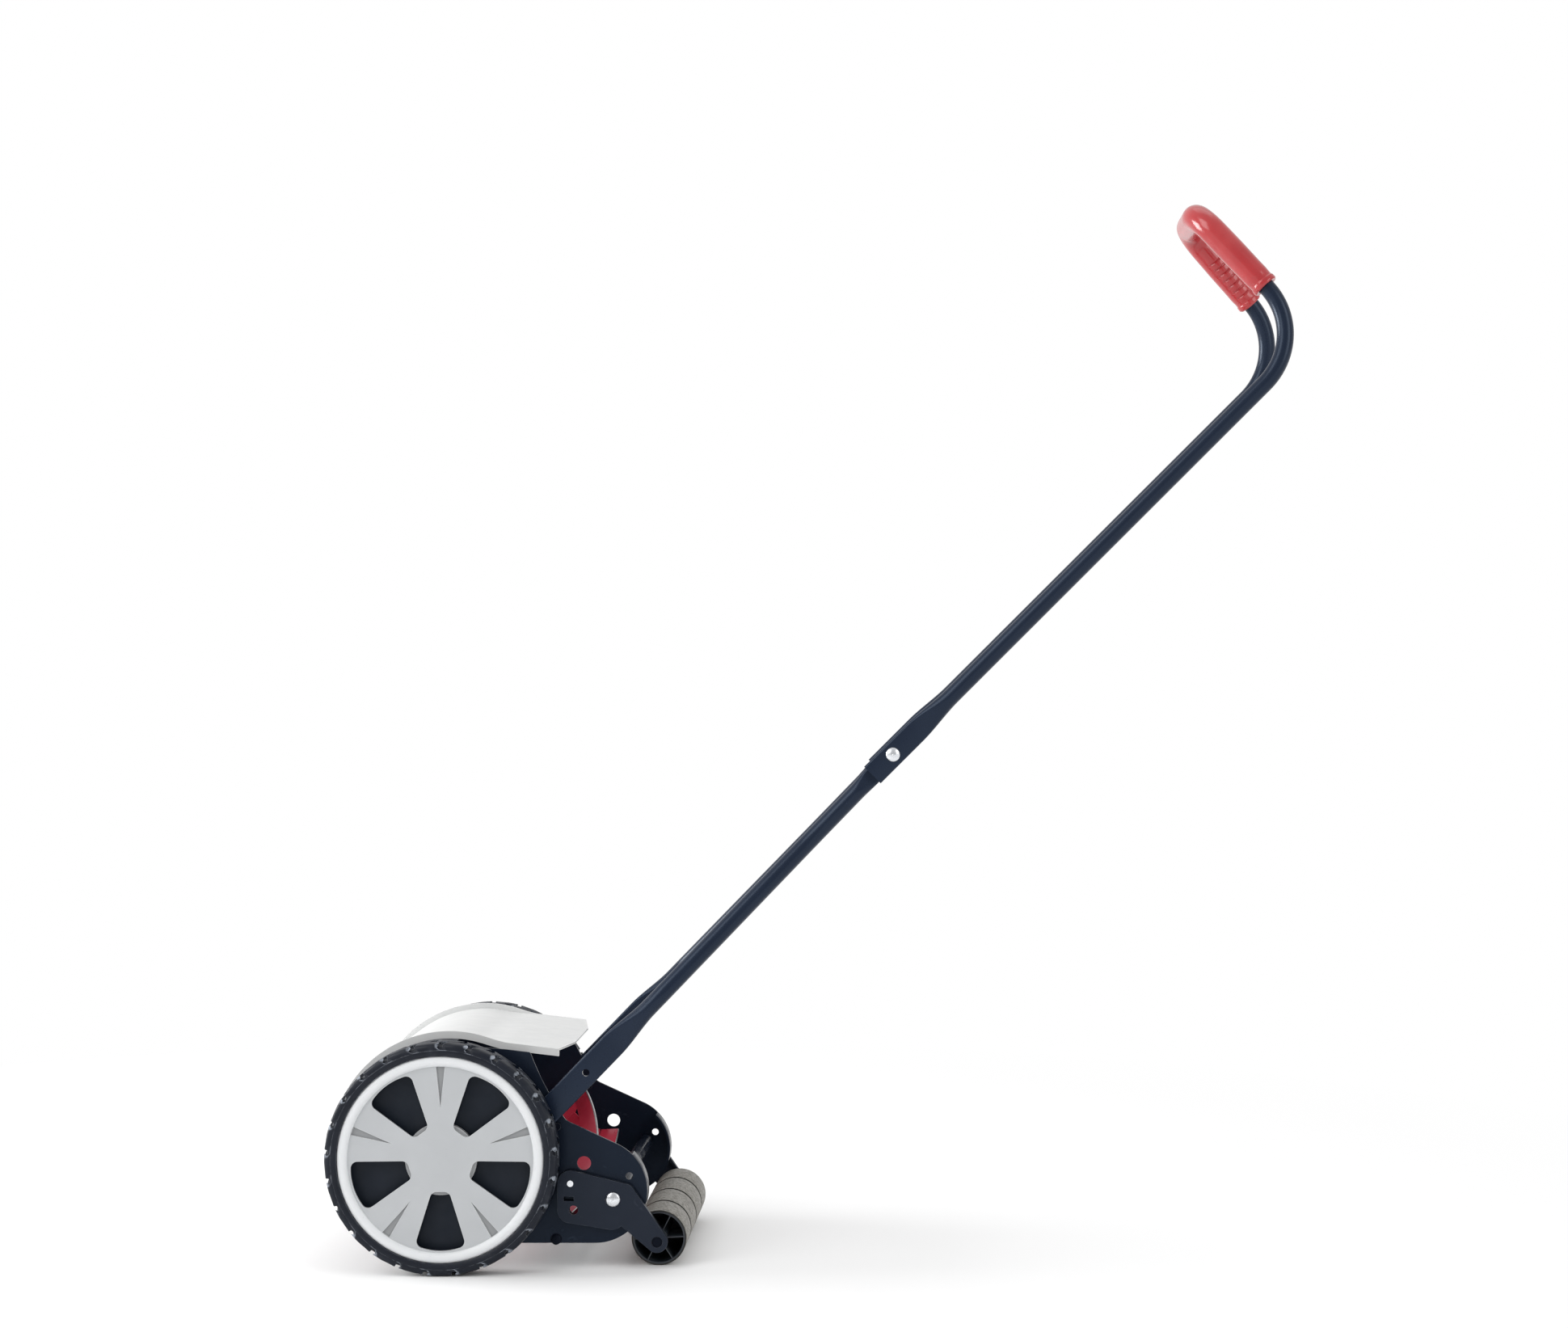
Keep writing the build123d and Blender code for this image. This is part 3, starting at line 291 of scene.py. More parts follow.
def cover_plastic():
    """Pale grey plastic, glossy, faintly dusty, with a painted highlight along its edges."""
    made = moulded(
        "cover_grey", (0.66, 0.665, 0.66), (0.62, 0.63, 0.63), (0.32, 0.46), grain=0.9 * MM, depth=0.004 * MM
    )
    made.tint(made.ranged(made.noise(70 * MM, 5), 0.45, 0.75, 0, 0.25), (0.6, 0.6, 0.59))
    # painted highlight along the sharp edges
    made.tint(made.ranged(made.edges(1.0 * MM), 0, 1, 0, 0.4), (0.86, 0.86, 0.86))
    return made.material


MATERIALS = {
    "black_paint": enamel(
        "black_paint", (0.0075, 0.011, 0.02), (0.012, 0.018, 0.03), specular=0.14, edge_wear_and_sheen=0.07
    ),
    "bracket_paint": enamel(
        "bracket_paint", (0.014, 0.017, 0.026), (0.02, 0.024, 0.034), (0.3, 0.46), specular=0.2
    ),
    "black_bolt": enamel(
        "black_bolt", (0.003, 0.004, 0.009), (0.006, 0.007, 0.012), (0.3, 0.45), specular=0.1
    ),
    "tube_paint": enamel(
        "tube_paint", (0.0075, 0.0125, 0.027), (0.011, 0.018, 0.036), (0.24, 0.3),
        specular=0.33, scuffs=0.0, edge_wear_and_sheen=0.0, relief=0.05,
    ),
    "reel_red": enamel(
        "reel_red", (0.5, 0.03, 0.06), (0.46, 0.026, 0.052), (0.26, 0.36),
        specular=0.4, scuffs=0.0, edge_wear_and_sheen=0.2, relief=0.15,
    ),
    "knife_steel": metal("knife_steel", (0.56, 0.56, 0.57), (0.26, 0.46), (1, 14, 1)),
    "axle_steel": metal("axle_steel", (0.5, 0.5, 0.51), (0.25, 0.42), (1, 0.2, 1)),
    "spring_steel": metal("spring_steel", (0.16, 0.16, 0.17), (0.3, 0.5)),
    "gear_iron": metal("gear_iron", (0.2, 0.19, 0.18), (0.4, 0.6)),
    "zinc": metal("zinc", (0.76, 0.78, 0.81), (0.16, 0.34), dull=(0.5, 0.51, 0.53)),
    "bush_bronze": metal("bush_bronze", (0.5, 0.32, 0.14), (0.35, 0.55), dull=(0.3, 0.19, 0.09)),
    "bearing_black": moulded(
        "bearing_black", (0.02, 0.02, 0.021), (0.03, 0.03, 0.03), (0.4, 0.55)
    ).material,
    "tyre_rubber": tyre_rubber(),
    "wheel_black": moulded(
        "wheel_black", (0.0065, 0.0105, 0.0185), (0.0095, 0.0145, 0.024), (0.42, 0.6), specular=0.22
    ).material,
    "cap_grey": cap_plastic(),
    "cover_grey": cover_plastic(),
    "roller_black": moulded(
        "roller_black", (0.02, 0.026, 0.034), (0.03, 0.036, 0.044), (0.35, 0.55)
    ).material,
    "roller_grey": roller_plastic(),
    "grip_red": grip_plastic(),
}


# ---- Mesh helpers ----
def outward(mesh):
    """Turn all of a closed mesh's faces outwards."""
    solid = bmesh.new()
    solid.from_mesh(mesh)
    bmesh.ops.recalc_face_normals(solid, faces=solid.faces)
    solid.to_mesh(mesh)
    solid.free()


def closed_object(name, vertices, faces):
    """An object in the scene with a closed mesh."""
    mesh = bpy.data.meshes.new(name)
    mesh.from_pydata([tuple(vertex) for vertex in vertices], [], faces)
    mesh.validate()
    outward(mesh)
    made = bpy.data.objects.new(name, mesh)
    bpy.context.scene.collection.objects.link(made)
    return made


def piece(name, vertices, faces, body, slot, replaced=(), smooth_angle=35, bevel=0.0, segments=2):
    """A finished mesh piece that rides on a body, has a slot's material and replaces CAD nodes."""
    made = closed_object(name, vertices, faces)
    made.data.materials.append(MATERIALS[slot])
    soften(made, smooth_angle, bevel, segments)
    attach(made, body)
    if replaced:
        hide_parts(*replaced)
    return made


def soften(thing, smooth_angle, bevel, segments=2):
    """Shade a mesh smooth up to an angle, with rounded sharp edges if a bevel width is given."""
    mesh = thing.data
    mesh.shade_smooth()
    mesh.set_sharp_from_angle(angle=radians(smooth_angle))
    if bevel:
        round_edges(thing, bevel, segments, smooth_angle)


def round_edges(thing, width, segments, sharpest):
    """Round the edges that turn by more than an angle in degrees."""
    modifier = thing.modifiers.new("rounded_edges", "BEVEL")
    modifier.width = width
    modifier.segments = segments
    modifier.limit_method = "ANGLE"
    modifier.angle_limit = radians(sharpest)
    modifier.harden_normals = True


def lofted(rings, closed_path=False):
    """Vertices and faces of a skin through closed rings that all have the same number of points."""
    count = len(rings[0])
    vertices = [point for ring in rings for point in ring]
    faces = []
    pairs = len(rings) if closed_path else len(rings) - 1
    for index in range(pairs):
        low, high = index * count, (index + 1) % len(rings) * count
        for step in range(count):
            after = (step + 1) % count
            faces.append((low + step, low + after, high + after, high + step))
    if not closed_path:
        faces.append(tuple(reversed(range(count))))
        faces.append(tuple(range((len(rings) - 1) * count, len(rings) * count)))
    return vertices, faces


def revolved(outline, axis_point, steps):
    """Vertices and faces of an outline of (radius, y) points turned about a line along Y."""
    rings = []
    for step in range(steps):
        angle = 2 * pi * step / steps
        rings.append([
            Vector((axis_point.x + radius * cos(angle), y, axis_point.z + radius * sin(angle)))
            for radius, y in outline
        ])
    return lofted(rings, closed_path=True)


def smoothstep(value, start, end):
    """0 before start, 1 after end, smooth between them."""
    share = min(1.0, max(0.0, (value - start) / (end - start)))
    return share * share * (3 - 2 * share)


def arc_points(centre, radius, start, end, steps):
    """Points of an arc in two dimensions, angles in degrees."""
    angles = [radians(start + (end - start) * step / steps) for step in range(steps + 1)]
    return [(centre[0] + radius * cos(angle), centre[1] + radius * sin(angle)) for angle in angles]


def rounded_path(corners, radii, step):
    """Evenly spaced points along straight runs whose inner corners are rounded to given radii."""
    line = [corners[0]]
    for before, corner, after, radius in zip(corners, corners[1:], corners[2:], radii):
        into, out = (corner - before).normalized(), (after - corner).normalized()
        turn = into.angle(out)
        reach = radius * tan(turn / 2)
        centre = corner + (out - into).normalized() * radius / cos(turn / 2)
        start = corner - into * reach - centre
        axis = into.cross(out).normalized()
        pieces = max(2, int(radius * turn / step))
        for index in range(pieces + 1):
            angle = turn * index / pieces
            line.append(centre + start * cos(angle) + axis.cross(start) * sin(angle))
    line.append(corners[-1])
    path = [line[0]]
    for low, high in zip(line, line[1:]):
        runs = max(1, round((high - low).length / step))
        path += [low.lerp(high, index / runs) for index in range(1, runs + 1)]
    return path


def path_frames(path, across):
    """Each point of a path with its distance, its tangent and a sideways direction that doesn't twist."""
    frames = []
    distance = 0.0
    for index, point in enumerate(path):
        before, after = path[max(0, index - 1)], path[min(len(path) - 1, index + 1)]
        tangent = (after - before).normalized()
        across = (across - tangent * across.dot(tangent)).normalized()
        if index:
            distance += (point - before).length
        frames.append((distance, point, tangent, across))
    return frames


def slot_ring(centre, across, through, half_width, half_depth, count=40):
    """A ring shaped like a flattened tube: two straight sides joined by round edges."""
    straight = half_width - half_depth
    ring = []
    for index in range(count):
        angle = 2 * pi * (index + 0.5) / count
        offset = straight if cos(angle) > 0 else -straight
        sideways = offset + half_depth * cos(angle)
        ring.append(centre + across * sideways + through * half_depth * sin(angle))
    return ring


def hollow_tube(path, across, size_at, wall, open_start=True):
    """A tube along a path, open at its end; size_at gives its half sizes at a distance along it."""
    depth = 14 * MM  # how far in an open end can be seen
    frames = path_frames(path, across)
    outer = []
    for distance, point, tangent, side in frames:
        outer.append(slot_ring(point, side, tangent.cross(side), *size_at(distance)))

    def end_rings(frame, inwards):
        distance, point, tangent, side = frame
        half_width, half_depth = size_at(distance)
        inner = (half_width - wall, half_depth - wall)
        shift = tangent * inwards
        rim = slot_ring(point, side, tangent.cross(side), *inner)
        return [rim, slot_ring(point + shift, side, tangent.cross(side), *inner)]

    start = end_rings(frames[0], depth) if open_start else []
    end = end_rings(frames[-1], -depth)
    return lofted(list(reversed(start)) + outer + end)


def cut(made, name, vertices, faces):
    """Take a cutter's shape out of a piece and keep the result as its mesh."""
    cutter = closed_object(name, vertices, faces)
    modifier = made.modifiers.new("hole", "BOOLEAN")
    modifier.operation = "DIFFERENCE"
    modifier.solver = "EXACT"
    modifier.object = cutter
    bpy.context.view_layer.update()
    evaluated = made.evaluated_get(bpy.context.evaluated_depsgraph_get())
    result = bpy.data.meshes.new_from_object(evaluated)
    made.modifiers.remove(modifier)
    made.data = result
    bpy.data.objects.remove(cutter)
    soften(made, smooth_angle=35, bevel=0)


def peg(x, z, radius, low_y, high_y, steps=32):
    """A plain round cutter along Y."""
    rings = []
    for y in (low_y, high_y):
        rings.append([
            Vector((x + radius * cos(2 * pi * step / steps), y, z + radius * sin(2 * pi * step / steps)))
            for step in range(steps)
        ])
    return lofted(rings)


# ---- Wheels ----
LUG_COUNT = 25
LUG_DEPTH = 3.2 * MM
NOTCH_HALF_ANGLE = 1.9  # degrees
FIRST_NOTCH = 88  # degrees up from the rear
NOTCH_EDGE = 0.28  # degrees from a notch's rim to its wall
LUG_REST = 2.8  # degrees from a notch's middle to a point on the lug
LUG_SLANT = 180  # degrees of lean per metre across the tread


def tyre_piece(side, sign):
    """A tyre with two staggered rows of slanted notches that run down its shoulders."""
    middle = (TYRE_OUTER + TYRE_INNER) / 2
    half_width = (TYRE_OUTER - TYRE_INNER) / 2
    rim_radius = WHEEL_RADIUS - 14 * MM
    ring_radius = WHEEL_RADIUS - 7.5 * MM
    pitch = 360 / LUG_COUNT
    # across the tyre: place from the middle (-1 to 1), radius, and the share of a notch's depth there
    outline = [
        (-0.9, rim_radius, 0), (-0.985, rim_radius + 2 * MM, 0), (-1, ring_radius - 2 * MM, 0),
        (-1, ring_radius - 0.6 * MM, 0), (-0.975, ring_radius, 0), (-0.985, ring_radius + 0.8 * MM, 0.1),
        (-0.97, WHEEL_RADIUS - 4.6 * MM, 0.8), (-0.93, WHEEL_RADIUS - 2.4 * MM, 1),
        (-0.86, WHEEL_RADIUS - 1 * MM, 1), (-0.72, WHEEL_RADIUS - 0.25 * MM, 1),
        (-0.5, WHEEL_RADIUS, 1), (-0.12, WHEEL_RADIUS, 1),
        (-0.06, WHEEL_RADIUS, 0.2), (-0.03, WHEEL_RADIUS - 0.8 * MM, 0),
    ]
    outline += [(-place, radius, share) for place, radius, share in reversed(outline)]
    # along the tyre: degrees from a notch's middle, and the share of its depth there
    notch = [
        (-NOTCH_HALF_ANGLE - NOTCH_EDGE, 0), (-NOTCH_HALF_ANGLE, 0.85), (-NOTCH_HALF_ANGLE / 2, 1),
        (0, 1), (NOTCH_HALF_ANGLE / 2, 1), (NOTCH_HALF_ANGLE, 0.85), (NOTCH_HALF_ANGLE + NOTCH_EDGE, 0),
        (LUG_REST, 0),
    ]
    columns = []
    for lug in range(LUG_COUNT):
        for row in (0, 1):
            centre = FIRST_NOTCH + (lug + row / 2) * pitch
            columns += [(centre + offset, row, depth) for offset, depth in notch]
    rings = []
    for angle, row, depth in columns:
        ring = []
        for place, radius, share in outline:
            in_row = place > 0 if row == 0 else place < 0
            slant = LUG_SLANT if row == 0 else -LUG_SLANT
            lean = slant * abs(place) * half_width * smoothstep(radius, ring_radius, WHEEL_RADIUS)
            turn = radians(angle + lean)
            reach = radius - (LUG_DEPTH * depth * share if in_row else 0)
            y = sign * (middle + place * half_width)
            ring.append(Vector((WHEEL_AXIS.x + reach * cos(turn), y, WHEEL_AXIS.z + reach * sin(turn))))
        rings.append(ring)
    vertices, faces = lofted(rings, closed_path=True)
    piece(f"tyre_tread_{side}", vertices, faces, f"{side}_wheel", "tyre_rubber", [f"tyre_{side}"], 40)


# ---- Cover ----
def cover_piece():
    """The cover: a shell along an arc that humps into a flat tail, with raised rims along both sides."""
    low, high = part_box("deck_cover")
    half_width = high.y
    centre = (WHEEL_AXIS.x, WHEEL_AXIS.z)
    outer_radius, recess, thickness, rim_width = 130 * MM, 6 * MM, 2 * MM, 3 * MM
    front_angle, crest_angle = 172, 78
    foot = (65 * MM, 242 * MM)
    tail_slope = -6.5 / 54
    lip = 8 * MM
    rear_edge, corner_cut, straight_half = high.x, 10 * MM, 60 * MM
    arc_steps, hump_steps, tail_steps = 48, 14, 10

    def hump(start, end, share):
        """A smooth curve from the arc's crest down into the tail."""
        start_slope, end_slope = (1, -1 / tan(radians(crest_angle))), (1, tail_slope)
        length = end[0] - start[0]
        blend_in = 2 * share**3 - 3 * share**2 + 1
        tangent_in = share**3 - 2 * share**2 + share
        blend_out = 1 - blend_in
        tangent_out = share**3 - share**2
        return tuple(
            blend_in * start[axis] + tangent_in * length * start_slope[axis]
            + blend_out * end[axis] + tangent_out * length * end_slope[axis]
            for axis in (0, 1)
        )

    def line(drop, foot_drop):
        """The section's line from front to rear, for a surface lowered by a drop."""
        points = arc_points(centre, outer_radius - drop, front_angle, crest_angle, arc_steps)
        start, end = points[-1], (foot[0], foot[1] - foot_drop)
        points += [hump(start, end, step / hump_steps) for step in range(1, hump_steps + 1)]
        return points

    def ring(index, surfaces):
        """One section across the cover, at a step along its line."""
        made = []
        for y, surface in surfaces:
            points, foot_drop = surface
            if index < len(points):
                x, z = points[index]
            else:
                share = (index - len(points) + 1) / tail_steps
                beyond = max(0.0, abs(y) - straight_half) / (half_width - straight_half)
                x = foot[0] + (rear_edge - corner_cut * beyond - foot[0]) * share
                z = foot[1] - foot_drop + (x - foot[0]) * tail_slope
            made.append(Vector((x, y, z)))
        return made

    rim_top = (line(0, 0), 0)
    skin_top = (line(recess, 0), 0)
    skin_low = (line(recess + thickness, thickness), thickness)
    rim_low = (line(recess + thickness, lip), lip)
    inner = half_width - rim_width
    across = (-inner, -100 * MM, -straight_half, -20 * MM, 20 * MM, straight_half, 100 * MM, inner)
    surfaces = [(-half_width, rim_low), (-half_width, rim_top), (-inner, rim_top)]
    surfaces += [(y, skin_top) for y in across]
    surfaces += [(inner, rim_top), (half_width, rim_top), (half_width, rim_low), (inner, rim_low)]
    surfaces += [(y, skin_low) for y in reversed(across)]
    surfaces += [(-inner, rim_low)]
    count = len(rim_top[0]) + tail_steps
    rings = [ring(index, surfaces) for index in range(count)]
    vertices, faces = lofted(rings)
    piece("cover_shell", vertices, faces, "chassis", "cover_grey", ["deck_cover"], 30, 0.6 * MM, 3)


# ---- Reel ----
def blade_piece(number):
    """A helical blade whose outer edge is ground bright."""
    start_angle, twist = 2.8, 310  # degrees, and degrees per metre
    blade_depth, half_thickness, land, grind = 21 * MM, 1.3 * MM, 0.5 * MM, 1.3 * MM
    stations = 90
    section = [
        (REEL_RADIUS - blade_depth, -half_thickness), (REEL_RADIUS - blade_depth, half_thickness),
        (REEL_RADIUS - blade_depth / 2, half_thickness), (REEL_RADIUS - grind, half_thickness),
        (REEL_RADIUS, half_thickness - land), (REEL_RADIUS, -half_thickness),
        (REEL_RADIUS - grind, -half_thickness), (REEL_RADIUS - blade_depth / 2, -half_thickness),
    ]
    rings = []
    for station in range(stations + 1):
        y = REEL_HALF_LENGTH * (1 - 2 * station / stations)
        angle = radians(start_angle + (number - 1) * 360 / BLADE_COUNT - twist * (REEL_HALF_LENGTH - y))
        out, round_ = Vector((cos(angle), 0, sin(angle))), Vector((-sin(angle), 0, cos(angle)))
        centre = Vector((REEL_AXIS.x, y, REEL_AXIS.z))
        rings.append([centre + out * reach + round_ * aside for reach, aside in section])
    vertices, faces = lofted(rings)
    made = piece(
        f"helical_blade_{number}", vertices, faces, "reel", "reel_red", [f"reel_blade_{number}"], 30
    )
    made.data.materials.append(MATERIALS["knife_steel"])
    ground = (3, 4)  # the section's sides that the grinding leaves bright
    for index, face in enumerate(made.data.polygons):
        if index < stations * len(section) and index % len(section) in ground:
            face.material_index = 1


# ---- Roller ----
def sleeve_piece(number):
    """A roller sleeve with rounded shoulders."""
    low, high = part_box(f"roller_sleeve_{number}")
    outer = (high.z - low.z) / 2
    wall, shoulder, inner_edge = 1.7 * MM, 0.7 * MM, 0.3 * MM
    # from an end face over its shoulder: radius, and how far in from the end
    profile = [(outer - wall, inner_edge)]
    for angle in (0, 30, 60, 90):
        turn = radians(angle)
        profile.append((outer - shoulder * (1 - sin(turn)), shoulder * (1 - cos(turn))))
    outline = [(radius, low.y + inset) for radius, inset in profile]
    outline.append((outer, (low.y + high.y) / 2))
    outline += [(radius, high.y - inset) for radius, inset in reversed(profile)]
    vertices, faces = revolved(outline, ROLLER_AXIS, 120)
    piece(
        f"roller_ring_{number}", vertices, faces, "roller", "roller_grey", [f"roller_sleeve_{number}"], 50
    )


# ---- Handle ----
TUBE_RADIUS, TUBE_WALL = 9.5 * MM, 1.2 * MM
PATH_STEP = 3 * MM
# half width and half depth where the tubes are pressed flat
FOOT_FLAT = (14 * MM, 2.6 * MM)
LOWER_JOINT_FLAT, UPPER_JOINT_FLAT = (10.25 * MM, 3 * MM), (13 * MM, 3 * MM)
FORWARD = (HANDLE_JOINT - HANDLE_PIVOT).normalized()


def pressed_size(distance, flat_until, round_from, flat):
    """Half width and half depth of a tube that is flat up to one distance and round from another."""
    share = smoothstep(distance, flat_until, round_from)
    return tuple(half_size + (TUBE_RADIUS - half_size) * share for half_size in flat)


def lower_tube_piece(side, sign):
    """A lower tube: flat against the side plate, splayed inwards, and flat again at the joint."""
    length = (HANDLE_JOINT - HANDLE_PIVOT).length
    foot_y, top_y = 148 * MM, 90 * MM
    tip, top_tip = -14 * MM, 22 * MM
    splay_start, splay_end, bend_radii = 205 * MM, 440 * MM, (60 * MM, 150 * MM)
    foot_flat_until, foot_round_from = 143 * MM, 201 * MM
    joint_flat_until, joint_round_from = 54 * MM, 80 * MM  # from the top
    hook_along, hook_radius = 89 * MM, 4 * MM

    def place(along, y):
        return HANDLE_PIVOT + FORWARD * along + Vector((0, sign * y, 0))

    corners = [
        place(tip, foot_y), place(splay_start, foot_y),
        place(splay_end, top_y), place(length + top_tip, top_y),
    ]
    path = rounded_path(corners, bend_radii, PATH_STEP)
    across = Vector((-FORWARD.z, 0, FORWARD.x))
    total = path_frames(path, across)[-1][0]

    def size_at(distance):
        if distance < total / 2:
            return pressed_size(distance, foot_flat_until, foot_round_from, FOOT_FLAT)
        return pressed_size(total - distance, joint_flat_until, joint_round_from, LOWER_JOINT_FLAT)

    vertices, faces = hollow_tube(path, across, size_at, TUBE_WALL, open_start=False)
    made = piece(
        f"lower_handle_tube_{side}", vertices, faces, "lower_handle", "tube_paint", [f"lower_tube_{side}"], 40
    )
    hook = place(hook_along, foot_y)
    reach = 6 * MM
    cut(made, "hook_cutter", *peg(hook.x, hook.z, hook_radius, hook.y - reach, hook.y + reach))


# The upper handle: its legs' direction, their upper side, and the loop from the bend to the crossbar
UPPER_ANGLE = radians(44.95)
LEG = Vector((cos(UPPER_ANGLE), 0, sin(UPPER_ANGLE)))
LEG_UP = Vector((-sin(UPPER_ANGLE), 0, cos(UPPER_ANGLE)))
LEG_Y = 96.4 * MM
LEG_LENGTH, BEND_RADIUS, LOOP_LENGTH = 578 * MM, 79 * MM, 110 * MM
BEND_TURN = radians(87.2)
CROSSBAR_CORNER_Y, CROSSBAR_BEND_RADIUS = 64.5 * MM, 34 * MM
GRIP_RADIUS = 15 * MM


def handle_corners(sign):
    """The corners of one half of the upper tube: at the top of its leg and at its crossbar's end."""
    setback = BEND_RADIUS * tan(BEND_TURN / 2)
    bend = HANDLE_JOINT + LEG * (LEG_LENGTH + setback)
    crossbar = bend + (LEG * cos(BEND_TURN) + LEG_UP * sin(BEND_TURN)) * (setback + LOOP_LENGTH)
    leg_corner = Vector((bend.x, sign * LEG_Y, bend.z))
    return leg_corner, Vector((crossbar.x, sign * CROSSBAR_CORNER_Y, crossbar.z))


def upper_tube_piece():
    """The U-shaped upper tube, in one run from its left foot over the crossbar to its right foot."""
    tip = 32 * MM
    flat_until, round_from = tip + 34 * MM, tip + 92 * MM
    left, right = handle_corners(-1), handle_corners(1)
    start = HANDLE_JOINT - LEG * tip + Vector((0, -LEG_Y, 0))
    end = HANDLE_JOINT - LEG * tip + Vector((0, LEG_Y, 0))
    radii = [BEND_RADIUS, CROSSBAR_BEND_RADIUS, CROSSBAR_BEND_RADIUS, BEND_RADIUS]
    path = rounded_path([start, *left, *reversed(right), end], radii, PATH_STEP)
    total = path_frames(path, LEG_UP)[-1][0]

    def size_at(distance):
        return pressed_size(min(distance, total - distance), flat_until, round_from, UPPER_JOINT_FLAT)

    vertices, faces = hollow_tube(path, LEG_UP, size_at, TUBE_WALL)
    piece("upper_handle_tube", vertices, faces, "upper_handle", "tube_paint", ["upper_tube"], 40)


def grip_piece():
    """The soft red grip: a sleeve round the loop with collars at its ends and finger ridges inside."""

    def grip_start(bend, crossbar):
        """Where a leg's bend has straightened out again, on its way to the crossbar."""
        rise = (crossbar - bend).normalized()
        return bend + rise * (BEND_RADIUS * tan(LEG.angle(rise) / 2))

    left, right = handle_corners(-1), handle_corners(1)
    corners = [grip_start(*left), left[1], right[1], grip_start(*right)]
    fine_step = 0.8 * MM
    path = rounded_path(corners, [CROSSBAR_BEND_RADIUS, CROSSBAR_BEND_RADIUS], fine_step)
    frames = path_frames(path, LEG)
    total = frames[-1][0]
    collar, neck, neck_depth, swell_end = 7 * MM, 11 * MM, 1 * MM, 60 * MM
    ridge_start, ridge_pitch, ridge_count = 16 * MM, 8.4 * MM, 7
    groove_depth, groove_half_width = 1.3 * MM, 1.5 * MM
    mouth_width, mouth_depth, mouth_round = 1.6 * MM, 12 * MM, 0.6 * MM
    rim_round, rim_drop = 1.6 * MM, 1.2 * MM
    around = 72
    middle = (left[1] + right[1]) / 2
    rings = []
    for distance, point, tangent, side in frames:
        # the outside: a collar, a neck behind it and a slow swell
        near_end = min(distance, total - distance)
        dip = smoothstep(near_end, collar - 1 * MM, collar)
        quick_recovery = smoothstep(near_end, neck - 2 * MM, neck + 6 * MM)
        slow_recovery = smoothstep(near_end, 2 * neck, swell_end)
        radius = GRIP_RADIUS - neck_depth * dip * (1 - (quick_recovery + slow_recovery) / 2)
        radius -= rim_drop * (1 - smoothstep(near_end, 0, rim_round))
        # the grooves between the finger ridges, on the loop's inner side
        through = tangent.cross(side)
        groove = 0.0
        for ridge in range(ridge_count):
            gap = abs(near_end - ridge_start - ridge * ridge_pitch)
            groove = max(groove, 1 - smoothstep(gap, 0.2 * MM, groove_half_width))
        inwards = -1 if through.dot(middle - point) < 0 else 1
        ring = []
        for index in range(around):
            angle = 2 * pi * index / around
            facing = inwards * sin(angle)
            reach = radius - groove * groove_depth * smoothstep(facing, 0.7, 0.92)
            ring.append(point + side * cos(angle) * reach + through * sin(angle) * reach)
        rings.append(ring)

    def mouth(frame, radius, shift):
        """A ring round the tube, just inside the grip's open end."""
        point, tangent, side = frame[1:]
        return [
            point + tangent * shift + side * cos(2 * pi * index / around) * radius
            + tangent.cross(side) * sin(2 * pi * index / around) * radius
            for index in range(around)
        ]

    bore = TUBE_RADIUS + 0.4 * MM
    lip = bore + mouth_width
    opening = ((bore, mouth_depth), (bore, mouth_round), (lip, 0))
    start = [mouth(frames[0], radius, shift) for radius, shift in opening]
    end = [mouth(frames[-1], radius, -shift) for radius, shift in reversed(opening)]
    vertices, faces = lofted(start + rings + end)
    piece("soft_grip", vertices, faces, "upper_handle", "grip_red", ["handle_grip"], 50)


# ---- Carried-over CAD nodes ----
BEVELS = {  # widths in millimetres
    "side_plate_left": 0.5, "side_plate_right": 0.5, "wheel_disc_left": 0.5, "wheel_disc_right": 0.5,
    "roller_bracket_left": 0.8, "roller_bracket_right": 0.8, "wheel_cap_left": 0.4, "wheel_cap_right": 0.4,
    "bed_knife_bar": 0.6, "rear_tie_rod": 0.5, "front_tie_rod": 0.5, "roller_core": 0.3,
    "bracket_nuts": 0.3, "joint_nuts": 0.3, "handle_pivot_nuts": 0.3,
}


def dress_cad_nodes():
    """Give every CAD node its material, and round the sharp edges of the larger ones."""
    slots = {part["node"]: part["material_slot"] for part in frame["record"]["subparts"]}
    for name, thing in nodes.items():
        thing.data.materials.clear()
        thing.data.materials.append(MATERIALS[slots[name]])
        weld = thing.modifiers.new("joined_faces", "WELD")
        weld.merge_threshold = 0.005 * MM
        if name in BEVELS:
            round_edges(thing, BEVELS[name] * MM, segments=2, sharpest=35)


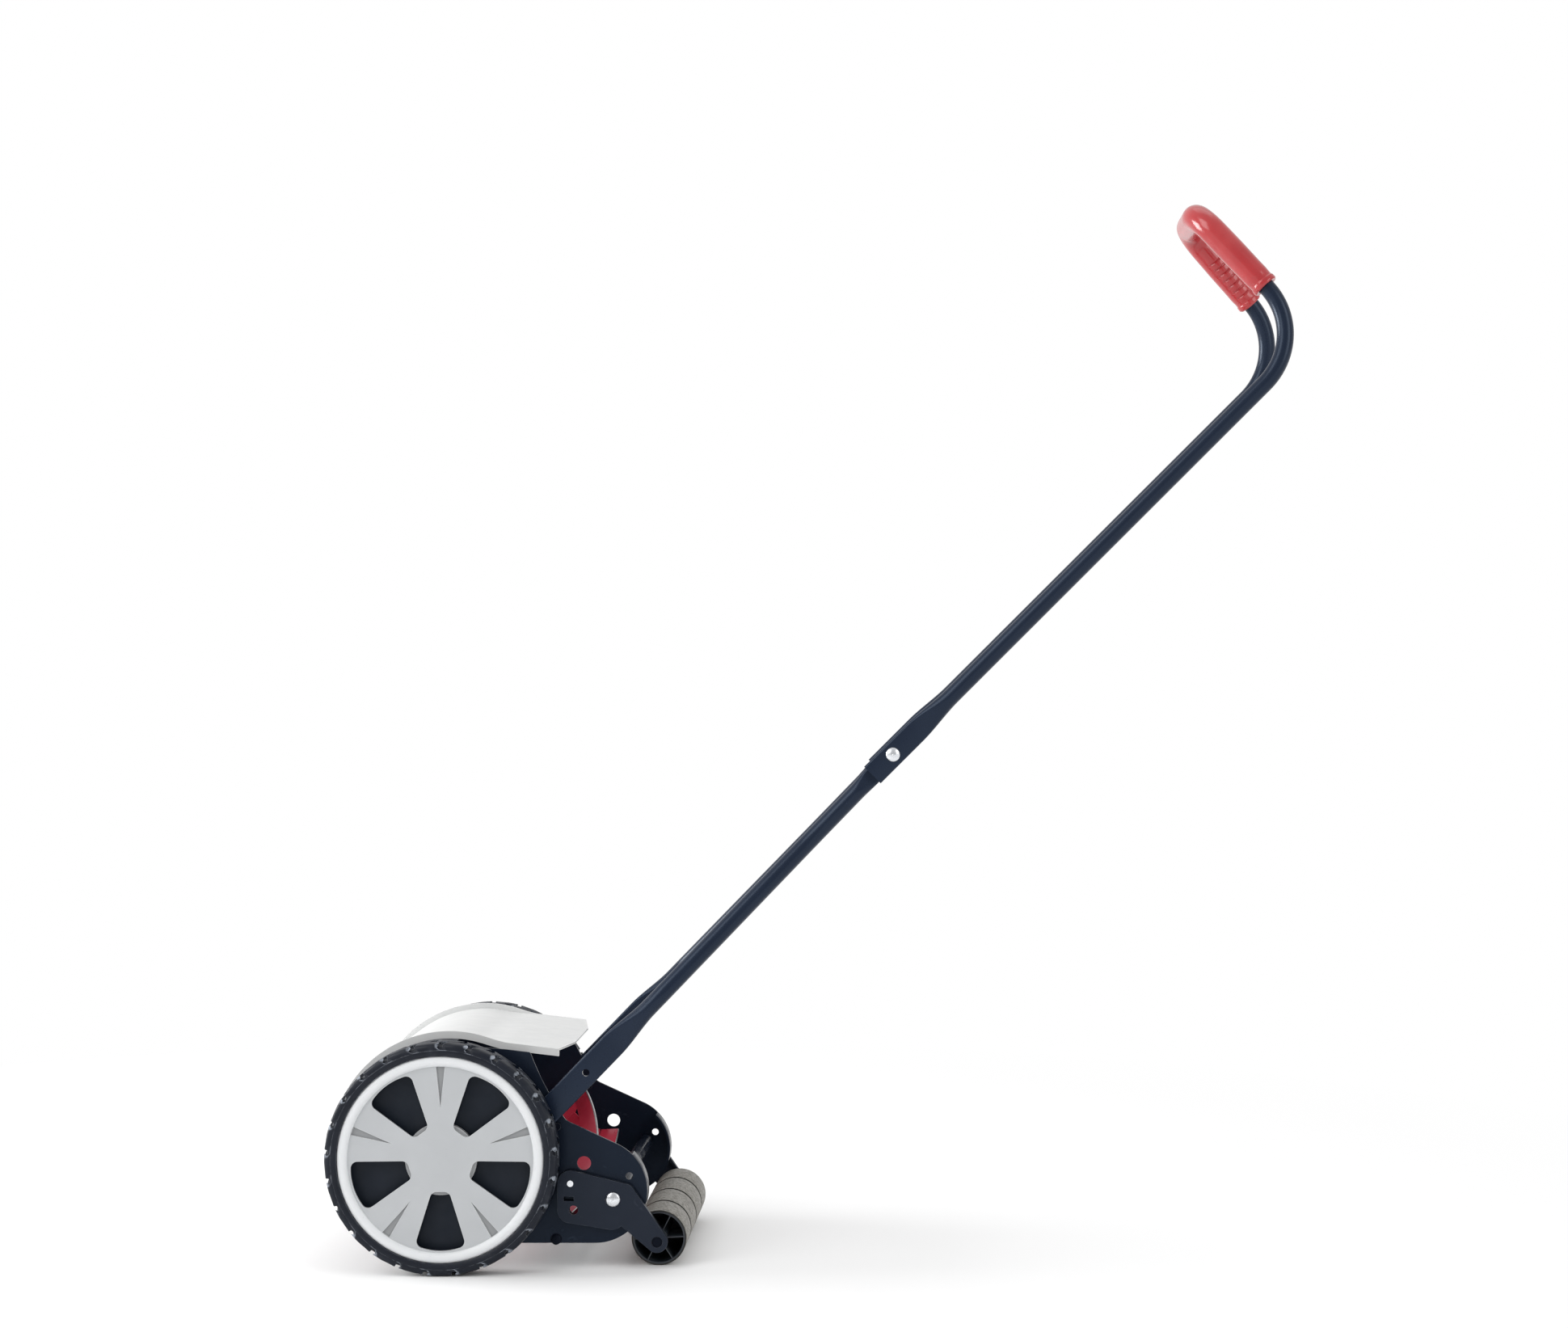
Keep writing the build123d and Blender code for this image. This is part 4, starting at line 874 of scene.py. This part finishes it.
# ---- Stage ----
def make_floor():
    """A plain pale floor that turns into an even white further off."""
    size, fade_start, fade_end = 40, 0.5, 1.7
    mesh = bpy.data.meshes.new("floor")
    corners = [(-size, -size, 0), (size, -size, 0), (size, size, 0), (-size, size, 0)]
    mesh.from_pydata(corners, [], [(0, 1, 2, 3)])
    floor = bpy.data.objects.new("floor", mesh)
    bpy.context.scene.collection.objects.link(floor)
    paper = Shader("floor_paper", (0.9, 0.9, 0.9), 0.7, specular=0.2)
    paper.tint(paper.ranged(paper.noise(0.4), 0.3, 0.7, 0, 0.3), (0.88, 0.88, 0.88))
    paper.bump(paper.noise(3 * MM, 3), 0.05 * MM)
    distance = paper.add("ShaderNodeVectorMath", operation="LENGTH")
    paper.join(paper.coordinates, distance.inputs[0])
    glow = paper.add("ShaderNodeEmission")
    mix = paper.add("ShaderNodeMixShader")
    paper.join(paper.ranged(distance.outputs["Value"], fade_start, fade_end), mix.inputs["Fac"])
    paper.join(paper.shader.outputs["BSDF"], mix.inputs[1])
    paper.join(glow.outputs["Emission"], mix.inputs[2])
    paper.join(mix.outputs["Shader"], paper.tree.nodes["Material Output"].inputs["Surface"])
    mesh.materials.append(paper.material)


def make_surround():
    """An even white backdrop, whose light is brighter from above and behind than from the front."""
    dim, bright = 0.5, 0.85
    world = bpy.data.worlds.new("surround")
    bpy.context.scene.world = world
    world.use_nodes = True
    tree = world.node_tree
    background = tree.nodes["Background"]
    background.inputs["Color"].default_value = (1, 1, 1, 1)
    coordinates = tree.nodes.new("ShaderNodeTexCoord")
    towards_back = tree.nodes.new("ShaderNodeVectorMath")
    towards_back.operation = "DOT_PRODUCT"
    towards_back.inputs[1].default_value = (0, 0.75, 0.66)
    tree.links.new(coordinates.outputs["Generated"], towards_back.inputs[0])
    spread = tree.nodes.new("ShaderNodeMapRange")
    for socket, number in (("From Min", -0.6), ("From Max", 0.7), ("To Min", dim), ("To Max", bright)):
        spread.inputs[socket].default_value = number
    tree.links.new(towards_back.outputs["Value"], spread.inputs["Value"])
    seen = tree.nodes.new("ShaderNodeLightPath")
    strength = tree.nodes.new("ShaderNodeMix")
    tree.links.new(seen.outputs["Is Camera Ray"], strength.inputs["Factor"])
    tree.links.new(spread.outputs["Result"], strength.inputs["A"])
    strength.inputs["B"].default_value = 1.0
    tree.links.new(strength.outputs["Result"], background.inputs["Strength"])


def make_lights():
    """Large soft panels: a key above the camera's left, one before the cover, a fill and a weak top light."""
    target = Vector((0.4, 0, 0.5))
    panels = (
        ("key_panel", (-2.4, -2.4, 2.8), (2.2, 3), 64),
        ("front_panel", (-2.8, 0.3, 1.0), (1.6, 1.6), 90),
        ("fill_panel", (3.0, -2.0, 2.0), (1.4, 2.4), 28),
        ("top_panel", (0.6, 0.8, 3.8), (2.4, 1.6), 8),
    )
    for name, place, (width, height), power in panels:
        light = bpy.data.lights.new(name, "AREA")
        light.shape = "RECTANGLE"
        light.size, light.size_y, light.energy = width, height, power
        lamp = bpy.data.objects.new(name, light)
        lamp.location = place
        lamp.rotation_euler = (target - Vector(place)).to_track_quat("-Z", "Y").to_euler()
        bpy.context.scene.collection.objects.link(lamp)


def make_camera():
    """The camera: far off to the left side at chest height, level, looking straight across the mower."""
    camera = bpy.data.cameras.new("camera")
    camera.sensor_width = 36
    focal_share = 1.8835  # focal length over the picture's width
    camera.lens = camera.sensor_width * focal_share
    camera.shift_x, camera.shift_y = -0.1026, -0.0152
    camera.clip_end = 100
    seat = bpy.data.objects.new("camera", camera)
    seat.location = (0.5407, -3.349, 0.6817)
    seat.rotation_euler = (radians(90), 0, 0)
    bpy.context.scene.collection.objects.link(seat)
    bpy.context.scene.camera = seat
    bpy.context.scene.view_settings.view_transform = "Standard"


for side_name, side_sign in SIDES:
    tyre_piece(side_name, side_sign)
    lower_tube_piece(side_name, side_sign)
cover_piece()
for blade_number in range(1, BLADE_COUNT + 1):
    blade_piece(blade_number)
for sleeve_number in range(1, SLEEVE_COUNT + 1):
    sleeve_piece(sleeve_number)
upper_tube_piece()
grip_piece()
dress_cad_nodes()
make_floor()
make_surround()
make_lights()
make_camera()
